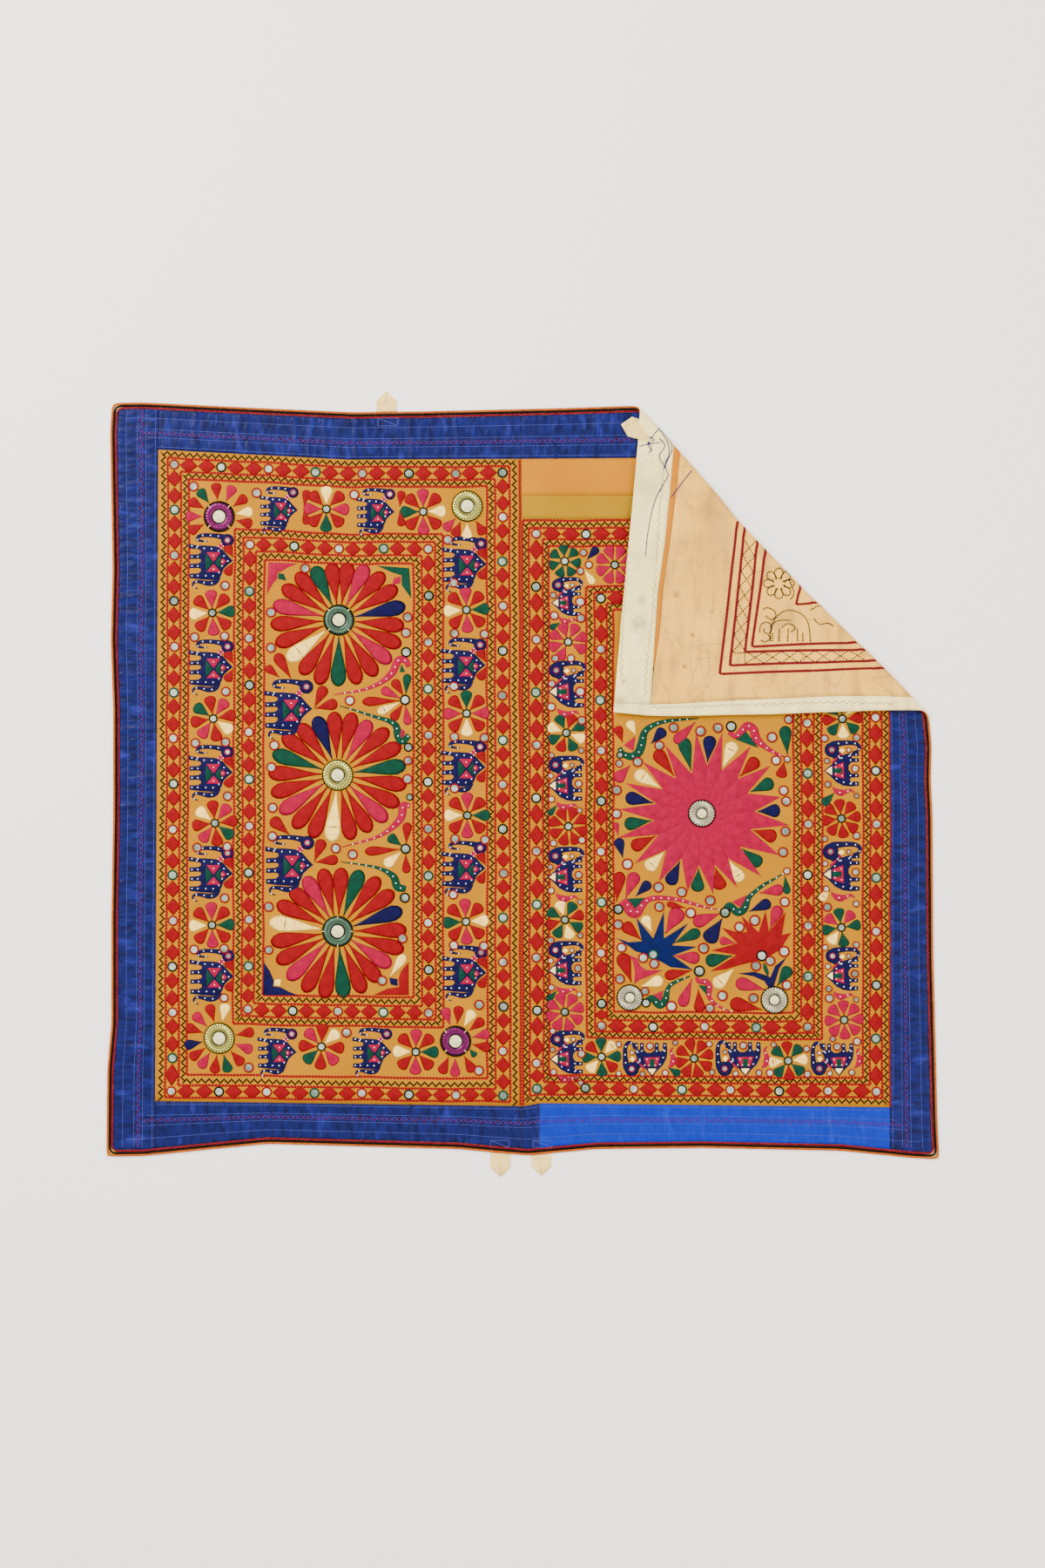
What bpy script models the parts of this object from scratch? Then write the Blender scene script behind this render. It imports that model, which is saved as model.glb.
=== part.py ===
# A mirror-work wall hanging of two embroidered cotton panels, laid flat with one corner folded over.
# Metres, +Z up. The origin is on the surface below the middle of the hanging, and its top edge is at +Y.
import math

import bmesh
import bpy

# Thicknesses of the cloths and the spaces that the stitches keep between them
LINING = 0.0010
FACE = 0.0010
GAP = 0.0003
STACK = LINING + GAP + FACE
PIPING_PROUD = 0.0013
PIPING_WIDTHS = (("orange", 0.0040), ("black", 0.0039), ("red", 0.0036))
HEM = 0.0005
TAB_WIDTH = 0.035
TAB_THICK = 0.0026
TAB_POINT = 0.45

# The outer edges and the seams in millimetres, as they wander: how far along, how far across
TOP_EDGE = (
    (-718, 657), (-653, 658), (-473, 649), (-293, 641), (-173, 642.5),
    (67, 648), (187, 652), (476, 652.5), (589, 648), (723, 651),
)
BOTTOM_EDGE = (
    (-718, -641), (-653, -640), (-533, -628), (-440, -619), (-293, -623),
    (-113, -628), (7, -639), (127, -628), (307, -626), (547, -631), (667, -643), (717.5, -646),
)
LEFT_EDGE = (
    (-641, -717.5), (-490, -716), (-412, -709), (-232, -709), (-52, -706),
    (128, -706), (248, -710), (368, -707), (608, -711), (657, -708),
)
RIGHT_EDGE = (
    (-646, 717.5), (-592, 714.5), (-412, 710), (-292, 707), (-52, 705.5),
    (8, 702.5), (68, 704), (141, 697), (300, 711), (490, 721), (593, 725), (651, 723),
)
TOP_SEAM = ((-640, 577), (-300, 559), (0, 560.5), (200, 562), (645, 578))
BOTTOM_SEAM = ((-640, -545), (0, -554), (30, -549), (640, -556))
LEFT_SEAM = ((-641, -634), (576, -628), (657, -627))
RIGHT_SEAM = ((-646, 632), (0, 633), (204, 629), (474, 645), (651, 646))
MIDDLE_SEAM = ((-645, 0), (657, -2.5))
STUB_SEAM = ((-645, 28.5), (-540, 28.5))
PATCH_LOW = ((-10, 457), (200, 457), (375, 460), (650, 474))
PATCH_HIGH = ((-10, 498), (200, 498), (375, 501), (650, 515))
FACING_TOP = ((-718, 588), (725, 588))
LINING_TOP = (
    (-718, 588), (170, 588), (190, 576), (277, 576), (395, 578.5), (584, 580.5), (650, 587), (725, 588),
)
FACING_SIDE = ((-646, 690), (0, 676), (158, 675), (327, 683), (490, 695.5), (588, 705), (651, 706))
TURNING_ENDS = (0.193, 0.640)

# The fold: where its line starts and ends, its round and its easing radius, and the height of the flap
FOLD_START = (0.21675, 0.63075)
FOLD_END = (0.68625, 0.12525)
FOLD_RADIUS = 0.0080
FOLD_DIP = math.radians(25)
FLAP_HEIGHT = 0.0082
ROUND_STEPS = 10
EASE_STEPS = 4
ROW = 0.0575
ROWS = range(-1, 14)
# How far the fold line is drawn in, and how far the flap lifts, in millimetres, at places along the fold
FOLD_SETBACK = (
    (-60, 0.0), (0, 0.0), (138, 2.0), (241, 8.0), (400, 6.0), (497, 1.0), (586, -3.5), (662, -5.5), (750, -4.0),
)
FLAP_WAVE = ((-60, 0.0), (90, 0.9), (230, 0.0), (380, 1.0), (520, 0.1), (640, 0.8), (750, 0.0))

# The metal rosettes in millimetres: name, middle, radius
ROSETTES = (
    ("purple_top", -523, 461, 27),
    ("gold_top", -96, 479, 27),
    ("green_high", -317, 283, 27),
    ("gold_middle", -319, 16, 27),
    ("green_low", -319, -253, 27),
    ("gold_bottom", -523, -437, 27),
    ("purple_bottom", -116, -442, 27),
    ("silver_sun", 308, -50, 24),
    ("silver_left", 184, -367, 23),
    ("silver_right", 433, -371, 24),
)
# Share of a rosette's radius and height in metres, from its middle outwards
ROSETTE_RISE = ((0.0, 0.0028), (0.42, 0.0030), (0.50, 0.0044), (0.80, 0.0036), (1.0, 0.0012))
ROSETTE_STEPS = 20

# The hanging tabs: name, place along its edge, that edge, how far out its tip lies
TABS = (
    ("tab_top", -0.2348, TOP_EDGE, 0.6765),
    ("tab_bottom_left", -0.0386, BOTTOM_EDGE, -0.6760),
    ("tab_bottom_right", 0.0315, BOTTOM_EDGE, -0.6740),
)
# The fourth is sewn to the back of the top facing, near the fold
CORNER_TAB_FOOT = (0.2475, 0.6220)
CORNER_TAB_TIP = (0.2378, 0.6832)

MM = 0.001
COLOURS = {
    "yellow_cotton": (0.87, 0.40, 0.04),
    "orange_cotton": (0.94, 0.42, 0.05),
    "mustard_cotton": (0.72, 0.39, 0.02),
    "navy_satin": (0.034, 0.052, 0.26),
    "blue_satin": (0.004, 0.10, 0.56),
    "cream_cotton": (0.84, 0.75, 0.58),
    "beige_cotton": (0.72, 0.54, 0.33),
    "orange_piping": (0.68, 0.24, 0.08),
    "black_piping": (0.012, 0.010, 0.009),
    "red_piping": (0.42, 0.012, 0.026),
    "stamped_metal": (0.55, 0.52, 0.42),
}


def linear(table, at):
    """The place across, in metres, on a line whose table is in millimetres."""
    at = at / MM
    for (low, first), (high, second) in zip(table, table[1:]):
        if at <= high:
            break
    share = min(max((at - low) / (high - low), 0.0), 1.0)
    return (first + (second - first) * share) * MM


def smooth(table, at):
    """Like linear, but eased between the rows."""
    at = at / MM
    for (low, first), (high, second) in zip(table, table[1:]):
        if at <= high:
            break
    share = min(max((at - low) / (high - low), 0.0), 1.0)
    share = share * share * (3 - 2 * share)
    return (first + (second - first) * share) * MM


# Lines across the cloth: an upright one gives x for a height, a level one y for a place along
def across(line, at):
    table, shift = line
    return linear(table, at) + shift


def crossing(upright, level):
    """Where an upright line meets a level one."""
    x = y = 0.0
    for _ in range(12):
        x = across(upright, y)
        y = across(level, x)
    return x, y


def upright_points(line, start, end):
    """The line's own bends between two heights, in that order."""
    bends = [at * MM for at, _ in line[0] if min(start, end) + HEM < at * MM < max(start, end) - HEM]
    return [(across(line, at), at) for at in sorted(bends, reverse=start > end)]


def level_points(line, start, end):
    bends = [at * MM for at, _ in line[0] if min(start, end) + HEM < at * MM < max(start, end) - HEM]
    return [(at, across(line, at)) for at in sorted(bends, reverse=start > end)]


def cut_piece(left, right, bottom, top):
    """The outline between four lines, counterclockwise."""
    low_left, low_right = crossing(left, bottom), crossing(right, bottom)
    high_left, high_right = crossing(left, top), crossing(right, top)
    return (
        [low_left] + level_points(bottom, low_left[0], low_right[0])
        + [low_right] + upright_points(right, low_right[1], high_right[1])
        + [high_right] + level_points(top, high_right[0], high_left[0])
        + [high_left] + upright_points(left, high_left[1], low_left[1])
    )


# The fold, in places along its line (w) and around its turn (t)
FOLD_LENGTH = math.dist(FOLD_START, FOLD_END)
ALONG = tuple((b - a) / FOLD_LENGTH for a, b in zip(FOLD_START, FOLD_END))
OUTWARD = (-ALONG[1], ALONG[0])
REACH = FOLD_RADIUS + STACK / 2
EASE_RADIUS = (REACH + FOLD_RADIUS * math.cos(FOLD_DIP) - FLAP_HEIGHT) / (1 - math.cos(FOLD_DIP))
ROUND_ARC = FOLD_RADIUS * (math.pi + FOLD_DIP)
EASE_ARC = EASE_RADIUS * FOLD_DIP
TURNS = [ROUND_ARC * step / ROUND_STEPS for step in range(ROUND_STEPS + 1)]
TURNS += [ROUND_ARC + EASE_ARC * step / EASE_STEPS for step in range(1, EASE_STEPS + 1)]


def by_rows(table, w):
    """An eased table, read at the rows along the fold and straight between them."""
    row = math.floor(w / ROW)
    share = w / ROW - row
    return smooth(table, row * ROW) * (1 - share) + smooth(table, (row + 1) * ROW) * share


def to_fold(x, y):
    """A place on the unfolded cloth as its place along the fold and around it."""
    dx, dy = x - FOLD_START[0], y - FOLD_START[1]
    w = dx * ALONG[0] + dy * ALONG[1]
    s = dx * OUTWARD[0] + dy * OUTWARD[1]
    return w, s + by_rows(FOLD_SETBACK, w) + REACH


def laid(w, t, h):
    """Where a point of the cloth lies, h above the back of the lining."""
    start = -by_rows(FOLD_SETBACK, w) - REACH
    middle = STACK / 2 - h
    ease_s = start - (FOLD_RADIUS + EASE_RADIUS) * math.sin(FOLD_DIP)
    ease_z = REACH + (FOLD_RADIUS + EASE_RADIUS) * math.cos(FOLD_DIP)
    lift = by_rows(FLAP_WAVE, w) * min(max((t - ROUND_ARC) / EASE_ARC, 0.0), 1.0)
    if t <= 0:
        s, z = start + t, h
    elif t <= ROUND_ARC:
        angle, radius = t / FOLD_RADIUS, FOLD_RADIUS + middle
        s, z = start + radius * math.sin(angle), REACH - radius * math.cos(angle)
    else:
        angle, radius = max(FOLD_DIP - (t - ROUND_ARC) / EASE_RADIUS, 0.0), EASE_RADIUS - middle
        s = ease_s + radius * math.sin(angle) - max(t - ROUND_ARC - EASE_ARC, 0.0)
        z = ease_z - radius * math.cos(angle)
    x = FOLD_START[0] + w * ALONG[0] + s * OUTWARD[0]
    y = FOLD_START[1] + w * ALONG[1] + s * OUTWARD[1]
    return x, y, z + lift


# Objects
def fresh_scene():
    for thing in list(bpy.data.objects):
        bpy.data.objects.remove(thing, do_unlink=True)
    parts = bpy.data.collections.new("mirror_work_hanging")
    bpy.context.scene.collection.children.link(parts)
    return parts


def finish(colour):
    """The Principled material of one cloth or metal."""
    material = bpy.data.materials.get(colour) or bpy.data.materials.new(colour)
    material.use_nodes = True
    shader = material.node_tree.nodes["Principled BSDF"]
    metal = colour == "stamped_metal"
    shader.inputs["Base Color"].default_value = (*COLOURS[colour], 1.0)
    shader.inputs["Metallic"].default_value = 1.0 if metal else 0.0
    shader.inputs["Roughness"].default_value = 0.35 if metal else 0.55 if "satin" in colour else 0.85
    return material


def cut_rows(mesh, axis, places):
    """Cuts the whole sheet across one axis at each place."""
    normal = (1, 0, 0) if axis == 0 else (0, 1, 0)
    for place in places:
        point = (place, 0, 0) if axis == 0 else (0, place, 0)
        everything = mesh.verts[:] + mesh.edges[:] + mesh.faces[:]
        bmesh.ops.bisect_plane(mesh, geom=everything, dist=1e-6, plane_co=point, plane_no=normal)


def sheet(parts, name, outline, low, high, colour):
    """A flat piece of cloth from its outline, cut where the fold bends, thickened and laid."""
    mesh = bmesh.new()
    mesh.faces.new([mesh.verts.new((*to_fold(x, y), 0.0)) for x, y in outline])
    if max(vert.co.y for vert in mesh.verts) > 0:
        # The rows are cut while the edges are straight, because the fold line bends there
        for vert in mesh.verts:
            vert.co.y -= by_rows(FOLD_SETBACK, vert.co.x)
        cut_rows(mesh, 0, [row * ROW for row in ROWS])
        for vert in mesh.verts:
            vert.co.y += by_rows(FOLD_SETBACK, vert.co.x)
        cut_rows(mesh, 1, TURNS)
    under = mesh.verts[:]
    raised = bmesh.ops.extrude_face_region(mesh, geom=mesh.faces[:])["geom"]
    for vert in under:
        vert.co.z = low
    for vert in raised:
        if isinstance(vert, bmesh.types.BMVert):
            vert.co.z = high
    for vert in mesh.verts:
        vert.co = laid(*vert.co)
    bmesh.ops.recalc_face_normals(mesh, faces=mesh.faces[:])
    if mesh.calc_volume(signed=True) < 0:
        bmesh.ops.reverse_faces(mesh, faces=mesh.faces[:])
    data = bpy.data.meshes.new(name)
    mesh.to_mesh(data)
    mesh.free()
    piece = bpy.data.objects.new(name, data)
    piece.data.materials.append(finish(colour))
    parts.objects.link(piece)
    return piece


def cloth_pieces(parts):
    """Panels, patches and satin borders on the front, lining and facings on the back."""
    half = GAP / 2
    inner = sum(width for _, width in PIPING_WIDTHS) + GAP
    left, right = (LEFT_EDGE, inner), (RIGHT_EDGE, -inner)
    bottom, top = (BOTTOM_EDGE, inner), (TOP_EDGE, -inner)
    fronts = (
        ("border_left", "navy_satin", left, (LEFT_SEAM, -half), bottom, top),
        ("border_top_left", "navy_satin", (LEFT_SEAM, half), (MIDDLE_SEAM, -half), (TOP_SEAM, half), top),
        ("border_top_right", "navy_satin", (MIDDLE_SEAM, half), (RIGHT_SEAM, -half), (TOP_SEAM, half), top),
        ("border_right", "navy_satin", (RIGHT_SEAM, half), right, bottom, top),
        ("border_bottom_left", "navy_satin", (LEFT_SEAM, half), (MIDDLE_SEAM, -half), bottom,
         (BOTTOM_SEAM, -half)),
        ("border_bottom_middle", "navy_satin", (MIDDLE_SEAM, half), (STUB_SEAM, -half), bottom,
         (BOTTOM_SEAM, -half)),
        ("border_bottom_right", "blue_satin", (STUB_SEAM, half), (RIGHT_SEAM, -half), bottom,
         (BOTTOM_SEAM, -half)),
        ("panel_left", "yellow_cotton", (LEFT_SEAM, half), (MIDDLE_SEAM, -half), (BOTTOM_SEAM, half),
         (TOP_SEAM, -half)),
        ("panel_right", "yellow_cotton", (MIDDLE_SEAM, half), (RIGHT_SEAM, -half), (BOTTOM_SEAM, half),
         (PATCH_LOW, -half)),
        ("patch_lower", "mustard_cotton", (MIDDLE_SEAM, half), (RIGHT_SEAM, -half), (PATCH_LOW, half),
         (PATCH_HIGH, -half)),
        ("patch_upper", "orange_cotton", (MIDDLE_SEAM, half), (RIGHT_SEAM, -half), (PATCH_HIGH, half),
         (TOP_SEAM, -half)),
    )
    for name, colour, *lines in fronts:
        sheet(parts, name, cut_piece(*lines), LINING + GAP, STACK, colour)
    start, end = (((-700, place / MM), (700, place / MM)) for place in TURNING_ENDS)
    backs = (
        ("lining", "beige_cotton", (LEFT_EDGE, HEM), (FACING_SIDE, -half), (BOTTOM_EDGE, HEM),
         (LINING_TOP, -half)),
        ("facing_top", "cream_cotton", (LEFT_EDGE, HEM), (FACING_SIDE, -half), (FACING_TOP, half),
         (TOP_EDGE, -HEM)),
        ("facing_right", "cream_cotton", (FACING_SIDE, half), (RIGHT_EDGE, -HEM), (BOTTOM_EDGE, HEM),
         (TOP_EDGE, -HEM)),
        ("turning", "orange_cotton", (start, 0.0), (end, 0.0), (LINING_TOP, half), (FACING_TOP, -half)),
    )
    for name, colour, *lines in backs:
        sheet(parts, name, cut_piece(*lines), 0.0, LINING, colour)


def piping(parts):
    """Three cords side by side along each edge, mitred at the corners."""
    mitre = GAP * math.sqrt(2)
    depth = 0.0
    for colour, width in PIPING_WIDTHS:
        outer, inner = depth, depth + width - GAP
        sides = {
            "left": ((LEFT_EDGE, outer), (LEFT_EDGE, inner)),
            "right": ((RIGHT_EDGE, -outer), (RIGHT_EDGE, -inner)),
            "bottom": ((BOTTOM_EDGE, outer), (BOTTOM_EDGE, inner)),
            "top": ((TOP_EDGE, -outer), (TOP_EDGE, -inner)),
        }
        for side, (out, into) in sides.items():
            if side in ("left", "right"):
                ends = [crossing(out, sides["bottom"][0]), crossing(out, sides["top"][0])]
                back = [crossing(into, sides["top"][1]), crossing(into, sides["bottom"][1])]
                outline = [ends[0]] + upright_points(out, ends[0][1], ends[1][1]) + [ends[1], back[0]]
                outline += upright_points(into, back[0][1], back[1][1]) + [back[1]]
            else:
                ends = [crossing(sides["left"][0], out), crossing(sides["right"][0], out)]
                back = [crossing(sides["right"][1], into), crossing(sides["left"][1], into)]
                ends = [(ends[0][0] + mitre, ends[0][1]), (ends[1][0] - mitre, ends[1][1])]
                back = [(back[0][0] - mitre, back[0][1]), (back[1][0] + mitre, back[1][1])]
                outline = [ends[0]] + level_points(out, ends[0][0], ends[1][0]) + [ends[1], back[0]]
                outline += level_points(into, back[0][0], back[1][0]) + [back[1]]
            name = f"piping_{colour}_{side}"
            sheet(parts, name, outline, LINING + GAP, STACK + PIPING_PROUD, f"{colour}_piping")
        depth += width


def tab_outline(middle, tip, gap_line=None):
    """A flat band whose end is folded to a point, with its foot along an edge where one is given."""
    length = math.dist(middle, tip)
    forward = ((tip[0] - middle[0]) / length, (tip[1] - middle[1]) / length)
    side = (forward[1], -forward[0])
    shoulder = length - TAB_WIDTH * TAB_POINT
    corners = []
    for far, off in ((0, -1), (0, 1), (shoulder, 1), (length, 0), (shoulder, -1)):
        x = middle[0] + far * forward[0] + off * side[0] * TAB_WIDTH / 2
        y = middle[1] + far * forward[1] + off * side[1] * TAB_WIDTH / 2
        corners.append((x, across(gap_line, x) if gap_line and far == 0 else y))
    return corners


def tabs(parts):
    for name, x, edge, tip in TABS:
        line = (edge, math.copysign(GAP, tip))
        outline = tab_outline((x, across(line, x)), (x, tip), line)
        sheet(parts, name, outline, 0.0, TAB_THICK, "cream_cotton")
    outline = tab_outline(CORNER_TAB_FOOT, CORNER_TAB_TIP)
    sheet(parts, "tab_corner", outline, -GAP - TAB_THICK, -GAP, "cream_cotton")


def rosettes(parts):
    """Stamped metal discs, turned from their section."""
    for name, x, y, radius in ROSETTES:
        section = [(share * radius * MM, rise) for share, rise in ROSETTE_RISE]
        section += [(radius * MM, 0.0), (0.0, 0.0)]
        data = bpy.data.meshes.new(f"rosette_{name}")
        edges = [(index, index + 1) for index in range(len(section) - 1)]
        data.from_pydata([(across_, 0.0, rise) for across_, rise in section], edges, [])
        disc = bpy.data.objects.new(f"rosette_{name}", data)
        turned = disc.modifiers.new("turned", "SCREW")
        turned.steps = turned.render_steps = ROSETTE_STEPS
        turned.use_merge_vertices = True
        turned.merge_threshold = 0.00001
        disc.location = (x * MM, y * MM, STACK + GAP)
        disc.data.materials.append(finish("stamped_metal"))
        parts.objects.link(disc)


def main():
    parts = fresh_scene()
    cloth_pieces(parts)
    piping(parts)
    tabs(parts)
    rosettes(parts)


main()
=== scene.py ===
"""The looks of an embroidered mirror-work hanging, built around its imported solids."""

import math
from collections import defaultdict
from functools import cache, partial

import bmesh
import bpy
import numpy as np
from bmesh.types import BMFace, BMVert
from bpy.props import FloatProperty, FloatVectorProperty, PointerProperty
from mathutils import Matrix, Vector


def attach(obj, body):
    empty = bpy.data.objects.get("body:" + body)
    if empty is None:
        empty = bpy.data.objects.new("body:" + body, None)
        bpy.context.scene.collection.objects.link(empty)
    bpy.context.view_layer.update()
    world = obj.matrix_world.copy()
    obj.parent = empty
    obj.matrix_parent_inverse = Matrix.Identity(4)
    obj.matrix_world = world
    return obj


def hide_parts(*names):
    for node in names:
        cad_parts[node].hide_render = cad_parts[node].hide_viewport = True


bl_info = {
    "name": "Mirror-work hanging",
    "version": (1, 0, 0),
    "blender": (4, 5, 0),
    "location": "View3D > Sidebar > Hanging",
    "description": "Dresses the hanging with cloth, embroidery, mirrors and rosettes",
    "category": "Object",
}

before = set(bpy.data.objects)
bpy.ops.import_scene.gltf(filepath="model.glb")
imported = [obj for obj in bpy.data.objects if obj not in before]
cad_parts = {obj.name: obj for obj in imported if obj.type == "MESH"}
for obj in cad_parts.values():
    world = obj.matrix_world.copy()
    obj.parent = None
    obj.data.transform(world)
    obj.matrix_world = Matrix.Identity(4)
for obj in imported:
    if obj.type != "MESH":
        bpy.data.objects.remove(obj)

# Units: tables are in millimetres, or in cloth steps of 1.5 mm counted right and down
# from a corner outside the hanging, with the middle of the hanging at step (600.5, 900.5)
MM = 0.001
STEP = 0.0015
MIDDLE = (600.5, 900.5)

# Layers of the cloth, from the back of the lining
LINING = 0.0010
STACK = 0.0023
GAP = 0.0003
HEM = 0.0005
TAB_THICK = 0.0026
TAB_WIDTH = 0.035
TAB_POINT = 0.45

# Lines across the flat cloth in millimetres: (along, across)
TOP_EDGE = (
    (-718, 657), (-653, 658), (-473, 649), (-293, 641), (-173, 642.5), (67, 648), (187, 652), (476, 652.5),
    (589, 648), (723, 651))
BOTTOM_EDGE = (
    (-718, -641), (-653, -640), (-533, -628), (-440, -619), (-293, -623), (-113, -628), (7, -639), (127, -628),
    (307, -626), (547, -631), (667, -643), (717.5, -646))
LEFT_EDGE = (
    (-641, -717.5), (-490, -716), (-412, -709), (-232, -709), (-52, -706), (128, -706), (248, -710), (368, -707),
    (608, -711), (657, -708))
RIGHT_EDGE = (
    (-646, 717.5), (-592, 714.5), (-412, 710), (-292, 707), (-52, 705.5), (8, 702.5), (68, 704), (141, 697),
    (300, 711), (490, 721), (593, 725), (651, 723))
TOP_SEAM = ((-640, 577), (-300, 559), (0, 560.5), (200, 562), (645, 578))
BOTTOM_SEAM = ((-640, -545), (0, -554), (30, -549), (640, -556))
LEFT_SEAM = ((-641, -634), (576, -628), (657, -627))
RIGHT_SEAM = ((-646, 632), (0, 633), (204, 629), (474, 645), (651, 646))
MIDDLE_SEAM = ((-645, 0), (657, -2.5))
STUB_SEAM = ((-645, 28.5), (-540, 28.5))
PATCH_LOW = ((-10, 457), (200, 457), (375, 460), (650, 474))
PATCH_HIGH = ((-10, 498), (200, 498), (375, 501), (650, 515))
FACING_TOP = ((-718, 588), (725, 588))
LINING_TOP = ((-718, 588), (170, 588), (190, 576), (277, 576), (395, 578.5), (584, 580.5), (650, 587), (725, 588))
FACING_SIDE = ((-646, 690), (0, 676), (158, 675), (327, 683), (490, 695.5), (588, 705), (651, 706))
TURNING_ENDS = (0.193, 0.640)
PIPING = (("orange", 0.0040), ("black", 0.0039), ("red", 0.0036))
SATIN_INSET = sum(width for _, width in PIPING) + GAP

# The fold of the corner
FOLD_START = np.array((0.21675, 0.63075))
FOLD_END = np.array((0.68625, 0.12525))
FOLD_RADIUS = 0.0080
FOLD_DIP = math.radians(25)
FLAP_HEIGHT = 0.0082
ROW = 0.0575
FOLD_SETBACK = (
    (-60, 0.0), (0, 0.0), (138, 2.0), (241, 8.0), (400, 6.0), (497, 1.0), (586, -3.5), (662, -5.5), (750, -4.0))
FLAP_WAVE = ((-60, 0.0), (90, 0.9), (230, 0.0), (380, 1.0), (520, 0.1), (640, 0.8), (750, 0.0))
ALONG = (FOLD_END - FOLD_START) / np.linalg.norm(FOLD_END - FOLD_START)
OUTWARD = np.array((-ALONG[1], ALONG[0]))
REACH = FOLD_RADIUS + STACK / 2
EASE_RADIUS = (REACH + FOLD_RADIUS * math.cos(FOLD_DIP) - FLAP_HEIGHT) / (1 - math.cos(FOLD_DIP))
ROUND_ARC = FOLD_RADIUS * (math.pi + FOLD_DIP)
EASE_ARC = EASE_RADIUS * FOLD_DIP
LAST_STITCH = 0.024  # embroidery further round the fold can't be seen

# Stitches and small parts in metres: width and height
CHAIN_STITCH = (0.0052, 0.0009)
CROSSED_STITCH = (0.0029, 0.0013)
DIAMOND = (0.0245, 0.0009)
WHITE_DOT = (0.0023, 0.0008)
BAND_RISE = 0.0009
MIRROR_ROOM = 6.2  # steps that a mirror takes up on each side of its middle
PIPING_MIDDLE = 0.00245
PIPING_RISE = 0.00115
BORDER_WIDTH = 0.075
SATIN_PITCH = (0.0032, 0.0042)
LOOSE_CRUMPLE = 0.002  # loose cloth creases deeper than this
RING_SECTION = ((0.5, 0.0), (0.48, 0.75), (0.42, 1.0), (0.35, 0.75), (0.335, 0.0))

# Stitched lines, as shares of the border's width from its outer edge
SATIN_LINES = (0.22, 0.49, 0.70, 0.93)
SATIN_ZIGZAG = 0.595
SATIN_ENDS = {"left": (-0.625, 0.645), "right": (-0.625, 0.20), "top": (-0.70, 0.24), "bottom": (-0.70, 0.70)}

# Rings of stitches round each panel, in steps: (stitch, left, right, top, bottom), 0 where a side has none
LEFT_RINGS = (
    ("chain", 0, 596.8, 0, 0), ("cross", 186.5, 590.5, 531.5, 0), ("chain", 191.5, 585, 535.8, 1263),
    ("diamond", 199, 577, 543.3, 1256), ("chain", 206.5, 568.2, 550.5, 1249), ("cross", 211.5, 563.7, 554.5, 1244),
    ("chain", 215.5, 559, 558.5, 1237), ("chain", 268.5, 508.5, 613, 1178.5), ("cross", 273.8, 504, 617, 1174),
    ("chain", 278.3, 499.5, 622, 1169.5), ("diamond", 285.8, 491.5, 630, 1162),
    ("chain", 292.5, 484, 637.5, 1154.5), ("cross", 297.5, 479.5, 642.3, 1149.5),
    ("chain", 302.5, 474.5, 647, 1144.5))
RIGHT_RINGS = (
    ("chain", 600.3, 1021.5, 597.5, 0), ("cross", 603.8, 1017, 602, 1263), ("chain", 607.7, 1012.5, 606.3, 1258.5),
    ("diamond", 616, 1005.5, 613, 1251.5), ("chain", 623.5, 998.5, 619, 1244), ("cross", 627, 994.5, 623.3, 1240.5),
    ("chain", 630, 990.5, 627, 1236.5), ("chain", 673, 943.5, 673.3, 1193), ("cross", 677.5, 939, 676.8, 1189.5),
    ("chain", 682.5, 934.5, 680, 1185.8), ("diamond", 690, 927, 687, 1179.3), ("chain", 696.5, 920, 693, 1172.5),
    ("cross", 700, 915.8, 696, 1168.5), ("chain", 704, 911.3, 700.5, 1162.8))
# Each panel's rings, its straight outline in millimetres, the seams that bend it, and the spacing and colours of
# the mirrors on the left and right of its outer and its inner diamonds
PANELS = {
    "left": (LEFT_RINGS, (-631, -2, -551, 560), (LEFT_SEAM, MIDDLE_SEAM, BOTTOM_SEAM, TOP_SEAM),
             (((51.9, "rgrk"), (50.9, "krgr")), ((53.6, "rgrk"), (53.6, "rkrg")))),
    "right": (RIGHT_RINGS, (-1.5, 632, -553, 457), (MIDDLE_SEAM, RIGHT_SEAM, BOTTOM_SEAM, PATCH_LOW),
              (((60.9, "rkrg"), (60.3, "rgkrgrk")), ((58.35, "krgr"), (57.6, "rgrk")))),
}

# Embroidery, in steps. Flowers: (x, y, bearing of the first petal, petals' colours clockwise)
FLOWERS = (
    (244, 703.5, 94, "prgrprcr"), (245, 825, 100, "rprcrprg"), (247, 945, 97, "rprgrprc"),
    (243.5, 1062, 92, "prgrprcr"), (535.7, 700.2, 93, "prgrprcr"), (535.8, 819, 91, "grprcrpr"),
    (536.5, 936, 90, "prgrprcr"), (535, 1058, 93, "prcrprgr"), (374.8, 584.5, 89, "crprgrpr"),
    (486, 587.4, 91, "prcrprgr"), (369.2, 1201.5, 87, "rcrprgrp"), (477.5, 1207.3, 89, "prgrprcr"),
    (648.4, 644.3, 95, "ggggggg"), (706, 648.5, 112, "pppppppp"), (652.3, 736.9, 108, "pppp ppp"),
    (650.4, 841.4, 115, "grgcgrgc"), (652.7, 948.7, 117, "rrrrrrrr"), (648.7, 1055.9, 107, "cgrgcgrg"),
    (648.6, 1161.7, 106, "pppppppp"), (967.2, 825.3, 94, "gcrgcgrg"), (966, 939.7, 97, "rrrrrrrr"),
    (966, 1064.7, 99, "gpg gcgp"), (969.2, 1170.7, 93, "pppppppp"), (690.7, 1213.2, 92, "gbgrgcgr"),
    (797, 1214.9, 105, "rrrrrrrr"), (904.9, 1217.7, 95, "rgcgrgbg"))
PETAL_COLOURS = {"r": "red", "p": "pink", "g": "green", "n": "navy", "c": "cream", "b": "cream"}
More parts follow.
